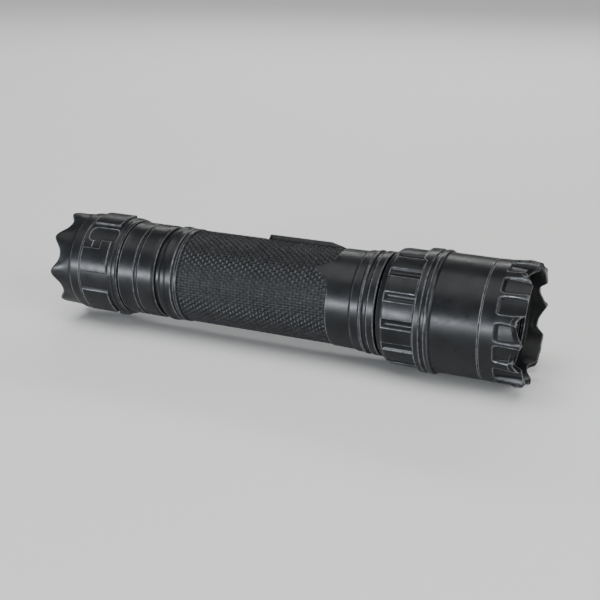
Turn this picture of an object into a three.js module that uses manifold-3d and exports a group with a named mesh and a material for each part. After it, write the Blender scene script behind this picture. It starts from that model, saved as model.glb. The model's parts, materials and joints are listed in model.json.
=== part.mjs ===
// Tactical flashlight with a strike bezel, a rotary selector ring, a side switch and a tail switch.
// Millimetres, +Z up. The optical axis is the X axis: the tail points to -X and the lens to +X.
// The origin is on the axis, half way along the light.
//
// Lengths along the light are written as "stations": the distance from the tips of the tail crown.
// Angles around the light are in degrees: 0 faces -Y and 90 faces +Z.
import * as THREE from "three";
import { mergeVertices } from "three/addons/utils/BufferGeometryUtils.js";
import Module from "manifold-3d";

const wasm = await Module();
wasm.setup();

// ---- Driving dimensions --------------------------------------------------------------------
const LENGTH = 135.6; // crown tips to bezel tips
const GRIP_R = 12.7; // 25.4 mm grip tube
const BAND_R = 13.05; // plain bands of the body
const COLLAR_R = 13.8; // front end of the body
const CROWN_R = 13.55; // tail crown
const CAP_R = 14.0; // tail cap between its panels
const PANEL_R = 14.5; // raised panels of the tail cap
const SELECTOR_R = 15.25;
const FLANGE_R = 16.15; // flange at the back of the head
const HEAD_R = 15.5; // plain head barrel
const BEZEL_R = 16.15; // flared rim of the bezel

const GAP = 0.3; // running and assembly gap between separate pieces
const FIT = 0.05; // gap between pieces that bear on each other
const CHAMFER = 0.3; // usual broken edge
const TRIM = 0.05; // small difference between neighbouring turned bands

const CAP_END = 22.0; // tail cap meets the body
const BODY_START = CAP_END + GAP;
const KNURL_START = 40.8;
const KNURL_END = 84.2;
const BODY_END = 97.8; // body meets the selector ring
const SELECTOR_START = BODY_END + 2 * GAP;
const SELECTOR_END = 108.4;
const FLANGE_START = SELECTOR_END + GAP;
const FLANGE_END = 112.4;
const BARREL_END = 124.9;
const BEZEL_START = BARREL_END + GAP;

const CELL_R = 9.2; // 18650 cell
const CELL_LENGTH = 65;
const CELL_START = 23.5;
const BORE_R = 9.6; // battery tube
const THREAD_MALE_R = 11.6; // both ends of the battery tube use the same thread
const THREAD_FEMALE_R = THREAD_MALE_R + GAP;
const SEAL_FLOOR_R = 10.8; // O-ring groove behind the tail thread
const FRONT_SEAL_R = 10.95; // O-ring groove behind the head thread
const WEB_START = 5.6; // tail cap wall with the button hole
const WEB_END = 7.4;
const SHELF_START = 100.2; // head shelf that carries the LED
const SHELF_END = 104.2;
const CHAMBER_R = 11.0; // LED chamber inside the head neck
const LENS_R = 13.0;
const LENS_START = 126.9;
const LENS_END = 128.7;

const CROWN_POINTS = 8;
const PANELS = 6;
const SELECTOR_GROOVES = 14;
const BEZEL_POCKETS = 16;
const BEZEL_TEETH = 4; // pointed teeth, each between two notches of the rim
const SWITCH_ANGLE = 120; // side switch, on the upper far side
const TONGUE_ANGLES = [51, 189]; // smooth tongues that point back into the knurl

const FINE = 36; // facets of the large rings
const COARSE = 20; // facets of the inner rings
const SMALL = 16; // facets of pins and holes
const BEYOND = 1; // how far a cutting shape reaches past what it cuts
const SINK = 0.2; // how far a joined shape reaches into what it stands on

// ---- Helpers -------------------------------------------------------------------------------
const radians = THREE.MathUtils.degToRad;

// A closed three.js geometry as a solid that can be joined and cut.
function toSolid(geometry) {
  const bare = geometry.clone();
  bare.deleteAttribute("normal");
  bare.deleteAttribute("uv");
  const merged = mergeVertices(bare, 1e-4);
  const triangles = [];
  const index = merged.index.array;
  for (let i = 0; i < index.length; i += 3) {
    const [a, b, c] = [index[i], index[i + 1], index[i + 2]];
    if (a !== b && b !== c && c !== a) triangles.push(a, b, c);
  }
  return new wasm.Manifold(
    new wasm.Mesh({
      numProp: 3,
      vertProperties: Float32Array.from(merged.attributes.position.array),
      triVerts: Uint32Array.from(triangles),
    })
  );
}

function toGeometry(solid) {
  const mesh = solid.getMesh();
  const geometry = new THREE.BufferGeometry();
  geometry.setAttribute("position", new THREE.BufferAttribute(mesh.vertProperties, 3));
  geometry.setIndex(new THREE.BufferAttribute(mesh.triVerts, 1));
  return geometry;
}

// Revolves [station, radius] points about X. The outline runs forward along the outside and
// back along the inside. A facet, not a corner, faces straight down.
function turned(profile, facets = COARSE, bored = true) {
  const points = profile.map(([x, r]) => new THREE.Vector2(r, x));
  if (bored) points.push(points[0].clone());
  const geometry = new THREE.LatheGeometry(points, facets, Math.PI / facets, 2 * Math.PI);
  return toSolid(geometry.rotateZ(-Math.PI / 2));
}

// A plain ring or tube.
function ring(start, end, inner, outer, facets = COARSE) {
  return turned([[start, inner], [start, outer], [end, outer], [end, inner]], facets);
}

// A disc with no hole.
function disc(start, end, outer, facets = COARSE) {
  return turned([[start, 0], [start, outer], [end, outer], [end, 0]], facets, false);
}

// A round ring of round section, such as an O-ring.
function torus(station, ringR, wireR, sides = 5) {
  const geometry = new THREE.TorusGeometry(ringR, wireR, sides, FINE);
  return toSolid(geometry.rotateY(Math.PI / 2).translate(station, 0, 0));
}

// Turns a geometry that was built towards +Z so that it faces the given angle.
function face(geometry, angle) {
  return geometry.rotateX(radians(90 - angle));
}

// A block from start to end along X, centred across, and between two heights off the axis.
function block(start, end, width, low, high, angle) {
  const geometry = new THREE.BoxGeometry(end - start, width, high - low);
  geometry.translate((start + end) / 2, 0, (low + high) / 2);
  return toSolid(face(geometry, angle));
}

// An upright cylinder whose axis is radial.
function post(station, radius, low, high, angle, facets = SMALL) {
  const geometry = new THREE.CylinderGeometry(radius, radius, high - low, facets);
  geometry.rotateX(Math.PI / 2).translate(station, 0, (low + high) / 2);
  return toSolid(face(geometry, angle));
}

// A slot with round ends, as long as start to end, standing between two heights.
function slot(start, end, width, low, high, angle) {
  const r = width / 2;
  const shape = new THREE.Shape();
  shape.absarc(end - r, 0, r, -Math.PI / 2, Math.PI / 2, false);
  shape.absarc(start + r, 0, r, Math.PI / 2, (3 * Math.PI) / 2, false);
  shape.closePath();
  const geometry = new THREE.ExtrudeGeometry(shape, {
    depth: high - low,
    bevelEnabled: false,
    curveSegments: 6,
  });
  return toSolid(face(geometry.translate(0, 0, low), angle));
}

// A coil of round wire about X whose radius runs from startR to endR.
function coil(start, end, startR, endR, wireR, turns) {
  const path = new (class extends THREE.Curve {
    getPoint(t, target = new THREE.Vector3()) {
      const angle = 2 * Math.PI * turns * t;
      const r = startR + (endR - startR) * t;
      return target.set(start + (end - start) * t, r * Math.cos(angle), r * Math.sin(angle));
    }
  })();
  const section = new THREE.Shape();
  section.absarc(0, 0, wireR, 0, 2 * Math.PI, false);
  return toSolid(
    new THREE.ExtrudeGeometry(section, {
      steps: Math.round(10 * turns),
      curveSegments: 2,
      extrudePath: path,
    })
  );
}

// Outline points of a turned band that stands above or below the surface around it.
function band(start, end, surfaceR, bandR, slope = 0) {
  return [[start, surfaceR], [start + slope, bandR], [end - slope, bandR], [end, surfaceR]];
}

// A flat outline extruded towards +Z from its base.
function extruded(points, base, depth) {
  const shape = new THREE.Shape(points.map(([x, y]) => new THREE.Vector2(x, y)));
  const geometry = new THREE.ExtrudeGeometry(shape, { depth, bevelEnabled: false });
  return geometry.translate(0, 0, base);
}

// A sector of a ring between two angles.
function sector(start, end, inner, outer, fromAngle, toAngle) {
  const shape = new THREE.Shape();
  shape.absarc(0, 0, outer, radians(fromAngle), radians(toAngle), false);
  shape.absarc(0, 0, inner, radians(toAngle), radians(fromAngle), true);
  shape.closePath();
  const geometry = new THREE.ExtrudeGeometry(shape, {
    depth: end - start,
    bevelEnabled: false,
    curveSegments: Math.max(2, Math.round((toAngle - fromAngle) / 9)),
  });
  // The outline's X becomes -Y and its Y becomes +Z; it is swept back along X from its end.
  const placed = new THREE.Matrix4().makeBasis(
    new THREE.Vector3(0, -1, 0), new THREE.Vector3(0, 0, 1), new THREE.Vector3(-1, 0, 0)
  );
  return toSolid(geometry.applyMatrix4(placed.setPosition(end, 0, 0)));
}

// Equally spaced angles, one for each copy of a repeated feature.
function around(count, first) {
  return Array.from({ length: count }, (_, i) => first + (360 / count) * i);
}

const group = new THREE.Group();
group.position.x = -LENGTH / 2;

function add(name, solid, color, roughness, metalness) {
  const material = new THREE.MeshStandardMaterial({ color, roughness, metalness });
  const mesh = new THREE.Mesh(toGeometry(solid), material);
  mesh.name = name;
  group.add(mesh);
}

const addAnodised = (name, solid) => add(name, solid, 0x17181a, 0.45, 0.6);
const addRubber = (name, solid) => add(name, solid, 0x101011, 0.85, 0.0);
const addPlastic = (name, solid, color) => add(name, solid, color, 0.55, 0.0);
const addSteel = (name, solid) => add(name, solid, 0x9a9ca0, 0.3, 1.0);
const addBrass = (name, solid) => add(name, solid, 0xb08d4a, 0.35, 1.0);

// ---- Tail cap ------------------------------------------------------------------------------
const CROWN_TIP_ANGLE = -1;
const CROWN_FACE_R = 11.9; // inner edge of the crown tips
const CROWN_END = 6.6;
const SCALLOP_DEPTH = 2.6;
const SCALLOP_R = 4.4;
const DISH_R = 10.9; // floor of the recess around the button
const BUTTON_HOLE_R = 6.8;
const PANEL_START = 10.7;
const PANEL_END = 19.3;
const PANEL_CENTRE = 27;
const PANEL_SPAN = 38; // degrees
const PANEL_ROOT = 0.6; // how deep the panels are rooted in the cap
const NOTCH_END = 16.0; // corner notch on every other panel
const NOTCH_SPAN = 11;
const CAP_TAPER_START = 20.2;
const SWITCH_BORE_R = 9.9;
const THREAD_STEP = 15.6; // switch bore ends and thread begins

function panelSector(start, end, from, to) {
  return sector(start, end, CAP_R - PANEL_ROOT, PANEL_R, from, to);
}

function tailPanel(i) {
  const low = PANEL_CENTRE + (360 / PANELS) * i - PANEL_SPAN / 2;
  const high = low + PANEL_SPAN;
  if (i % 2) return panelSector(PANEL_START, PANEL_END, low, high);
  const rear = panelSector(PANEL_START, NOTCH_END, low, high - NOTCH_SPAN);
  return rear.add(panelSector(NOTCH_END - SINK, PANEL_END, low, high));
}

function tailCap() {
  let solid = turned(
    [
      [WEB_START, BUTTON_HOLE_R], [WEB_START, DISH_R],
      [0, CROWN_FACE_R], [0, CROWN_R - CHAMFER], [CHAMFER, CROWN_R],
      [CROWN_END, CROWN_R], [CROWN_END + CHAMFER, CAP_R],
      [CAP_TAPER_START, CAP_R], [CAP_END - CHAMFER, CAP_R - CHAMFER],
      [CAP_END, CAP_R - 2 * CHAMFER],
      [CAP_END, THREAD_FEMALE_R], [THREAD_STEP, THREAD_FEMALE_R],
      [THREAD_STEP, SWITCH_BORE_R], [WEB_END, SWITCH_BORE_R], [WEB_END, BUTTON_HOLE_R],
    ],
    FINE
  );
  for (let i = 0; i < PANELS; i++) solid = solid.add(tailPanel(i));
  for (const angle of around(CROWN_POINTS, CROWN_TIP_ANGLE + 180 / CROWN_POINTS)) {
    const station = SCALLOP_DEPTH - SCALLOP_R;
    const low = DISH_R - BEYOND;
    solid = solid.subtract(post(station, SCALLOP_R, low, CAP_R + BEYOND, angle, FINE));
  }
  return solid;
}

// ---- Tail switch ---------------------------------------------------------------------------
const BUTTON_R = 6.4;
const BUTTON_TIP = 1.4; // station of the middle of the button
const BUTTON_DOME = 2.2; // how far the dome falls back at its rim
const BUTTON_SKIN = 1.3; // rubber wall
const BUTTON_FLANGE_R = 7.6;
const BUTTON_FLANGE_END = WEB_END + GAP + 0.8;
const PLUNGER_START = BUTTON_TIP + BUTTON_SKIN + 2 * GAP;
const PLUNGER_R = BUTTON_R - BUTTON_SKIN - 0.4;
const PLUNGER_END = 8.2;
const STEM_R = 1.8;
const STEM_END = 10.6;
const HOUSING_R = 9.6;
const HOUSING_RIM_R = 8.0; // inside of the housing wall
const HOUSING_FLOOR = 10.2;
const HOUSING_END = 12.0;
const SPRING_SEAT_R = 4.4; // annular seat of the return spring
const SPRING_SEAT_INNER_R = 2.4;
const SPRING_SEAT_FLOOR = 11.6;
const RETURN_SPRING = { start: 8.8, end: 11.4, radius: 3.4, wire: 0.22, turns: 3 };
const BOARD_THICK = 1.0;
const RETAINING_RING_START = HOUSING_END + 2 * GAP + BOARD_THICK;
const RETAINING_RING_END = 15.2;
const RETAINING_RING_R = 7.4;
const SPANNER_SLOT = 2.0;
const SPANNER_DEPTH = 0.8;
const CONTACT_SPRING = { start: 14.1, end: 22.8, large: 6.2, small: 3.4, wire: 0.4, turns: 4.5 };

function tailButton() {
  return turned(
    [
      [BUTTON_TIP, 0], [BUTTON_TIP + 0.07 * BUTTON_DOME, 0.4 * BUTTON_R],
      [BUTTON_TIP + 0.36 * BUTTON_DOME, 0.77 * BUTTON_R],
      [BUTTON_TIP + BUTTON_DOME, BUTTON_R], [WEB_END + GAP, BUTTON_R],
      [WEB_END + GAP, BUTTON_FLANGE_R], [BUTTON_FLANGE_END, BUTTON_FLANGE_R],
      [BUTTON_FLANGE_END, BUTTON_R - BUTTON_SKIN],
      [PLUNGER_START, BUTTON_R - BUTTON_SKIN],
      [PLUNGER_START - GAP, PLUNGER_R - GAP], [PLUNGER_START - GAP, 0],
    ],
    COARSE,
    false
  );
}

function tailSwitchPlunger() {
  return turned(
    [
      [PLUNGER_START, 0], [PLUNGER_START, PLUNGER_R - 2 * GAP],
      [PLUNGER_START + 2 * GAP, PLUNGER_R], [PLUNGER_END, PLUNGER_R],
      [PLUNGER_END, STEM_R], [STEM_END, STEM_R], [STEM_END, 0],
    ],
    COARSE,
    false
  );
}

function tailReturnSpring() {
  const { start, end, radius, wire, turns } = RETURN_SPRING;
  return coil(start, end, radius, radius, wire, turns);
}

function tailContactSpring() {
  const { start, end, large, small, wire, turns } = CONTACT_SPRING;
  return coil(start, end, large, small, wire, turns);
}

function tailSwitchHousing() {
  const stemHole = STEM_R + 2 * GAP - 0.2;
  return turned([
    [HOUSING_FLOOR, stemHole], [HOUSING_FLOOR, SPRING_SEAT_INNER_R],
    [SPRING_SEAT_FLOOR, SPRING_SEAT_INNER_R], [SPRING_SEAT_FLOOR, SPRING_SEAT_R],
    [HOUSING_FLOOR, SPRING_SEAT_R], [HOUSING_FLOOR, HOUSING_RIM_R],
    [WEB_END + GAP, HOUSING_RIM_R], [WEB_END + GAP, HOUSING_R],
    [HOUSING_END, HOUSING_R], [HOUSING_END, stemHole],
  ]);
}

function tailSwitchBoard() {
  return disc(HOUSING_END + GAP, HOUSING_END + GAP + BOARD_THICK, HOUSING_R);
}

// Two spanner slots across one end face of a retaining ring.
function spannerSlots(start, end, firstAngle) {
  const [one, other] = around(2, firstAngle).map((angle) =>
    block(start, end, SPANNER_SLOT, RETAINING_RING_R - BEYOND, THREAD_FEMALE_R, angle)
  );
  return one.add(other);
}

function tailRetainingRing() {
  const solid = ring(RETAINING_RING_START, RETAINING_RING_END, RETAINING_RING_R, HOUSING_R);
  const slotStart = RETAINING_RING_END - SPANNER_DEPTH;
  return solid.subtract(spannerSlots(slotStart, RETAINING_RING_END + BEYOND, 0));
}

// ---- Body tube -----------------------------------------------------------------------------
const TUBE_START = 15.9;
const SEAL_WIDTH = 1.4;
const REAR_SEAL_START = 20.0;
const REAR_LINE = [27.0, 28.3]; // shallow turned line
const REAR_LINE_DEPTH = 0.35;
const DEEP_GROOVE = [33.0, 35.3]; // dark groove behind the knurl
const DEEP_GROOVE_R = 12.0;
const RIDGE = [36.0, 37.3];
const RIDGE_R = 13.3;
const FRONT_LINE = [38.9, 39.7];
const FRONT_LINE_R = 12.6;
const COLLAR_FOOT = 90.6; // the body widens towards the collar
const COLLAR_LOW_R = 13.5;
const COLLAR_LINE = [94.0, 95.9];
const COLLAR_LINE_R = 13.35;
const SOCKET_START = 89.0; // threaded socket that takes the head
const PAD_START = 61.0; // raised pad of the side switch
const PAD_SLOPE = 79.8;
const PAD_END = 84.0;
const PAD_TOP = 13.6;
const PAD_ROOT = 11.2;
const PAD_WIDTH = 8.0;
const PAD_CORNER = 1.6;
const POCKET_START = 62.6;
const POCKET_END = 79.2;
const POCKET_WIDTH = 6.8;
const POCKET_FLOOR = 10.3;
const TONGUE_LENGTH = 5.2;
const TONGUE_HALF_WIDTH = 3.4;

// The pad's side view, swept across its width and trimmed to its rounded outline from above.
function switchPad() {
  const half = PAD_WIDTH / 2;
  const sweep = extruded(
    [
      [PAD_START, PAD_ROOT], [PAD_END, PAD_ROOT], [PAD_END, GRIP_R],
      [PAD_SLOPE, PAD_TOP], [PAD_START + CHAMFER, PAD_TOP], [PAD_START, PAD_TOP - CHAMFER],
    ],
    -half,
    PAD_WIDTH
  );
  const corners = [
    [PAD_END - PAD_CORNER, PAD_CORNER - half, -90],
    [PAD_END - PAD_CORNER, half - PAD_CORNER, 0],
    [PAD_START + PAD_CORNER, half - PAD_CORNER, 90],
    [PAD_START + PAD_CORNER, PAD_CORNER - half, 180],
  ];
  const above = new THREE.Shape();
  for (const [x, y, from] of corners) {
    above.absarc(x, y, PAD_CORNER, radians(from), radians(from + 90), false);
  }
  above.closePath();
  const outline = new THREE.ExtrudeGeometry(above, {
    depth: PAD_TOP - PAD_ROOT + 2 * BEYOND,
    bevelEnabled: false,
    curveSegments: 4,
  });
  outline.translate(0, 0, PAD_ROOT - BEYOND);
  const upright = face(sweep.rotateX(Math.PI / 2), SWITCH_ANGLE);
  return toSolid(upright).intersect(toSolid(face(outline, SWITCH_ANGLE)));
}

// Smooth tongue that runs back from the collar into the knurl, flared at its root.
function tongue(angle) {
  const tip = KNURL_END - TONGUE_LENGTH;
  const waist = KNURL_END - 0.25 * TONGUE_LENGTH;
  const root = KNURL_END + CHAMFER;
  const outline = [
    [tip, 0], [waist, -0.8 * TONGUE_HALF_WIDTH], [root, -1.5 * TONGUE_HALF_WIDTH],
    [root, 1.5 * TONGUE_HALF_WIDTH], [waist, 0.8 * TONGUE_HALF_WIDTH],
  ];
  const prism = extruded(outline, PAD_ROOT, BAND_R + BEYOND - PAD_ROOT);
  const shell = ring(tip - BEYOND, root + BEYOND, BORE_R + BEYOND, BAND_R, FINE);
  return toSolid(face(prism, angle)).intersect(shell);
}

function bodyTube() {
  const [deepStart, deepEnd] = DEEP_GROOVE;
  const profile = [
    [TUBE_START, BORE_R], [TUBE_START, THREAD_MALE_R - CHAMFER],
    [TUBE_START + CHAMFER, THREAD_MALE_R],
    ...band(REAR_SEAL_START, REAR_SEAL_START + SEAL_WIDTH, THREAD_MALE_R, SEAL_FLOOR_R),
    [BODY_START, THREAD_MALE_R], [BODY_START, BAND_R - CHAMFER],
    [BODY_START + CHAMFER, BAND_R],
    ...band(REAR_LINE[0], REAR_LINE[1], BAND_R, BAND_R - REAR_LINE_DEPTH, 0.5),
    ...band(deepStart, deepEnd, BAND_R, DEEP_GROOVE_R, 0.7),
    ...band(RIDGE[0], RIDGE[1], BAND_R, RIDGE_R, 0.2),
    ...band(FRONT_LINE[0], FRONT_LINE[1], BAND_R, FRONT_LINE_R, 0.35),
    [KNURL_START - CHAMFER, BAND_R], [KNURL_START, GRIP_R],
    [KNURL_END, GRIP_R], [KNURL_END + CHAMFER, BAND_R],
    [COLLAR_FOOT, BAND_R + TRIM], [COLLAR_FOOT + 0.5, COLLAR_LOW_R],
    [COLLAR_LINE[0] - 0.4, COLLAR_LOW_R],
    ...band(COLLAR_LINE[0], COLLAR_LINE[1], COLLAR_R, COLLAR_LINE_R, 0.4),
    [BODY_END - CHAMFER, COLLAR_R], [BODY_END, COLLAR_R - CHAMFER],
    [BODY_END, THREAD_FEMALE_R], [SOCKET_START, THREAD_FEMALE_R], [SOCKET_START, BORE_R],
  ];
  let solid = turned(profile, FINE).add(switchPad());
  for (const angle of TONGUE_ANGLES) solid = solid.add(tongue(angle));
  const pocket = slot(
    POCKET_START, POCKET_END, POCKET_WIDTH, POCKET_FLOOR, PAD_TOP + BEYOND, SWITCH_ANGLE
  );
  return solid.subtract(pocket);
}

// ---- Side switch ---------------------------------------------------------------------------
const SIDE_FRAME_MARGIN = 0.25; // between frame and pocket, and frame and button
const SIDE_FRAME_WALL = 0.7;
const SIDE_FRAME_LOW = 13.0;
const SIDE_BUTTON_INSET = 2 * SIDE_FRAME_MARGIN + SIDE_FRAME_WALL;
const SIDE_BUTTON_LOW = 12.4;
const SIDE_FLANGE = 0.3;
const SIDE_BOARD_THICK = 0.4;
const TACT_LOW = POCKET_FLOOR + GAP + SIDE_BOARD_THICK + GAP;
const TACT_HALF = 1.7;
const TACT_HEIGHT = 0.35;
const TACT_STEM_R = 0.9;
const TACT_STEM = 0.2;

function sideSlot(inset, low, high) {
  return slot(
    POCKET_START + inset, POCKET_END - inset, POCKET_WIDTH - 2 * inset, low, high, SWITCH_ANGLE
  );
}

function sideButtonFrame() {
  const opening = sideSlot(
    SIDE_FRAME_MARGIN + SIDE_FRAME_WALL, SIDE_FRAME_LOW - BEYOND, PAD_TOP + BEYOND
  );
  return sideSlot(SIDE_FRAME_MARGIN, SIDE_FRAME_LOW, PAD_TOP).subtract(opening);
}

function sideButton() {
  const flange = sideSlot(2 * SIDE_FRAME_MARGIN, SIDE_BUTTON_LOW, SIDE_BUTTON_LOW + SIDE_FLANGE);
  const top = PAD_TOP - TRIM;
  return sideSlot(SIDE_BUTTON_INSET, SIDE_BUTTON_LOW + SIDE_FLANGE / 2, top).add(flange);
}

function sideTactSwitch() {
  const middle = (POCKET_START + POCKET_END) / 2;
  const top = TACT_LOW + TACT_HEIGHT;
  const can = block(
    middle - TACT_HALF, middle + TACT_HALF, 1.8 * TACT_HALF, TACT_LOW, top, SWITCH_ANGLE
  );
  return can.add(post(middle, TACT_STEM_R, top - SINK, top + TACT_STEM, SWITCH_ANGLE));
}

function sideSwitchBoard() {
  const low = POCKET_FLOOR + GAP;
  return sideSlot(2 * SIDE_FRAME_MARGIN, low, low + SIDE_BOARD_THICK);
}

// ---- Battery -------------------------------------------------------------------------------
const CELL_EDGE = 0.6; // rounded ends of the wrap
const CELL_END = CELL_START + CELL_LENGTH;
const CELL_RECESS_R = 4.2; // well that holds the positive button
const CELL_RECESS = 0.9;
const CELL_BUTTON_R = 3.6;
const CELL_BUTTON = 2.0;

function batteryCell() {
  return turned(
    [
      [CELL_START, 0], [CELL_START, CELL_R - CELL_EDGE], [CELL_START + CELL_EDGE, CELL_R],
      [CELL_END - CELL_EDGE, CELL_R], [CELL_END, CELL_R - CELL_EDGE],
      [CELL_END, CELL_RECESS_R], [CELL_END - CELL_RECESS, CELL_RECESS_R],
      [CELL_END - CELL_RECESS, 0],
    ],
    COARSE,
    false
  );
}

function batteryTop() {
  const start = CELL_END - CELL_RECESS + FIT;
  return turned(
    [
      [start, 0], [start, CELL_BUTTON_R], [start + 0.55 * CELL_BUTTON, CELL_BUTTON_R],
      [start + 0.75 * CELL_BUTTON, 0.83 * CELL_BUTTON_R], [start + CELL_BUTTON, 0],
    ],
    COARSE,
    false
  );
}

// ---- Driver --------------------------------------------------------------------------------
const DRIVER_BORE_R = 10.3;
const DRIVER_R = DRIVER_BORE_R - GAP;
const DRIVER_START = 96.0;
const DRIVER_END = 97.2;
const DRIVER_RING_START = 93.4;
const DRIVER_RING_R = 8.2;
const DRIVER_SPRING = { start: 90.5, end: 95.4, small: 2.6, large: 3.6, wire: 0.35, turns: 3.5 };
const INDUCTOR_R = 3.0;
const INDUCTOR_HEIGHT = 2.1;
const INDUCTOR_SIDES = 8;

function driverBoard() {
  return disc(DRIVER_START, DRIVER_END, DRIVER_R);
}

// An eight-sided bobbin with a winding groove round it.
function driverInductor() {
  const start = DRIVER_END + 2 * FIT;
  const flange = 0.3 * INDUCTOR_HEIGHT;
  const groove = ring(
    start + flange, start + INDUCTOR_HEIGHT - flange,
    0.75 * INDUCTOR_R, INDUCTOR_R + BEYOND, INDUCTOR_SIDES
  );
  return disc(start, start + INDUCTOR_HEIGHT, INDUCTOR_R, INDUCTOR_SIDES).subtract(groove);
}

function driverContactSpring() {
  const { start, end, small, large, wire, turns } = DRIVER_SPRING;
  return coil(start, end, small, large, wire, turns);
}

function driverRetainingRing() {
  const solid = ring(DRIVER_RING_START, DRIVER_START - GAP, DRIVER_RING_R, DRIVER_R);
  const slotEnd = DRIVER_RING_START + SPANNER_DEPTH;
  return solid.subtract(spannerSlots(DRIVER_RING_START - BEYOND, slotEnd, 90));
}

// ---- Selector ring and its detent ----------------------------------------------------------
const SELECTOR_GROOVE_ANGLE = 2.4;
const SELECTOR_GROOVE_WIDTH = 2.3;
const SELECTOR_GROOVE_FLOOR = 14.55;
const SELECTOR_CHAMFER_R = 13.7; // smaller end, next to the body
const SELECTOR_RIM = SELECTOR_START + 2; // the chamfer ends and the grooves begin
const NECK_R = 12.2; // head neck under the selector ring
const SELECTOR_BORE_R = NECK_R + 0.4;
const SNAP_POCKET_R = 13.2;
const SNAP_POCKET_END = 100.6;
const SNAP_RING = { start: 99.35, end: 100.05, inner: 11.85, outer: 12.95, opening: 5 };
const MAGNET_ANGLE = SELECTOR_GROOVE_ANGLE + 180 / SELECTOR_GROOVES; // under a land
const MAGNET_STATION_R = 13.7;
const MAGNET_R = 0.75;
const MAGNET_START = 103.5;
const DETENT_ANGLE = -50;
const DETENT_STATION = 102.4;
const DETENT_BALL_R = 0.9;
const DETENT_HOLE_R = 1.15;
const DETENT_HOLE_FLOOR = 8.4;
const DETENT_SPRING = { low: 8.9, high: 10.4, radius: 0.6, wire: 0.12, turns: 3 };

// A round bar parallel to the axis, standing off it at the given angle.
function bar(start, end, radius, offset, angle) {
  const geometry = new THREE.CylinderGeometry(radius, radius, end - start, SMALL);
  geometry.rotateZ(-Math.PI / 2).translate((start + end) / 2, 0, offset);
  return toSolid(face(geometry, angle));
}

function selectorRing() {
  let solid = turned(
    [
      [SELECTOR_START, SNAP_POCKET_R], [SELECTOR_START, SELECTOR_CHAMFER_R],
      [SELECTOR_RIM, SELECTOR_R - 2 * TRIM], [SELECTOR_RIM + CHAMFER, SELECTOR_R],
      [SELECTOR_END, SELECTOR_R], [SELECTOR_END, SELECTOR_BORE_R],
      [SNAP_POCKET_END, SELECTOR_BORE_R], [SNAP_POCKET_END, SNAP_POCKET_R],
    ],
    FINE
  );
  for (const angle of around(SELECTOR_GROOVES, SELECTOR_GROOVE_ANGLE)) {
    const groove = block(
      SELECTOR_RIM + SINK, SELECTOR_END + BEYOND, SELECTOR_GROOVE_WIDTH,
      SELECTOR_GROOVE_FLOOR, SELECTOR_R + BEYOND, angle
    );
    solid = solid.subtract(groove);
  }
  const socket = bar(
    MAGNET_START - GAP, SELECTOR_END + BEYOND, MAGNET_R + GAP / 2,
    MAGNET_STATION_R, MAGNET_ANGLE
  );
  return solid.subtract(socket);
}

function selectorMagnet() {
  return bar(MAGNET_START, SELECTOR_END - GAP, MAGNET_R, MAGNET_STATION_R, MAGNET_ANGLE);
}

function selectorSnapRing() {
  const { start, end, inner, outer, opening } = SNAP_RING;
  const gap = block(
    start - BEYOND, end + BEYOND, opening, inner - 2 * BEYOND, outer + BEYOND, -90
  );
  return ring(start, end, inner, outer).subtract(gap);
}

function detentBall() {
  const geometry = new THREE.SphereGeometry(DETENT_BALL_R, SMALL, 10);
  const offset = SELECTOR_BORE_R - SINK - DETENT_BALL_R;
  return toSolid(face(geometry.translate(DETENT_STATION, 0, offset), DETENT_ANGLE));
}

function detentSpring() {
  const { low, high, radius, wire, turns } = DETENT_SPRING;
  const path = new (class extends THREE.Curve {
    getPoint(t, target = new THREE.Vector3()) {
      const angle = 2 * Math.PI * turns * t;
      const along = DETENT_STATION + radius * Math.cos(angle);
      return target.set(along, radius * Math.sin(angle), low + (high - low) * t);
    }
  })();
  const section = new THREE.Shape();
  section.absarc(0, 0, wire, 0, 2 * Math.PI, false);
  const geometry = new THREE.ExtrudeGeometry(section, {
    steps: 12 * turns,
    curveSegments: 3,
    extrudePath: path,
  });
  return toSolid(face(geometry, DETENT_ANGLE));
}

// ---- Head barrel ---------------------------------------------------------------------------
const TENON_START = 89.3; // threaded tenon that screws into the body
const TENON_END = 98.1;
const FRONT_SEAL_START = 94.3;
const SNAP_GROOVE = [99.2, 100.2];
const SNAP_GROOVE_R = 11.7;
const FLANGE_CHAMFER = 0.55;
const FLANGE_LINE = [110.4, 111.8]; // turned line round the flange
const FLANGE_LINE_R = 15.75;
const INDEX_START = 107.7; // index shoulder that reaches over the selector ring
const INDEX_HALF_SPAN = 50; // centred on the side switch
const CAVITY_START = 110.6; // the LED chamber opens into the reflector bore
const CAVITY_R = 14.0;
const BARREL_THREAD_START = 119.0;
const BARREL_THREAD_R = 14.5;
const SCREW_OFFSET = 6.6; // LED board screws, above and below the axis
const SCREW_ANGLES = [90, -90];
const SCREW_HOLE_R = 0.85;
const SCREW_HOLE_START = 101.2;
const WIRE_HOLE_R = 1.0;
const WIRE_HOLE_OFFSET = 5.0;
const WIRE_HOLE_ANGLES = [0, 180];

function indexShoulder() {
  return sector(
    INDEX_START, FLANGE_START + 3 * SINK, SELECTOR_R + GAP, FLANGE_R - TRIM,
    SWITCH_ANGLE - INDEX_HALF_SPAN, SWITCH_ANGLE + INDEX_HALF_SPAN
  );
}

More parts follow.
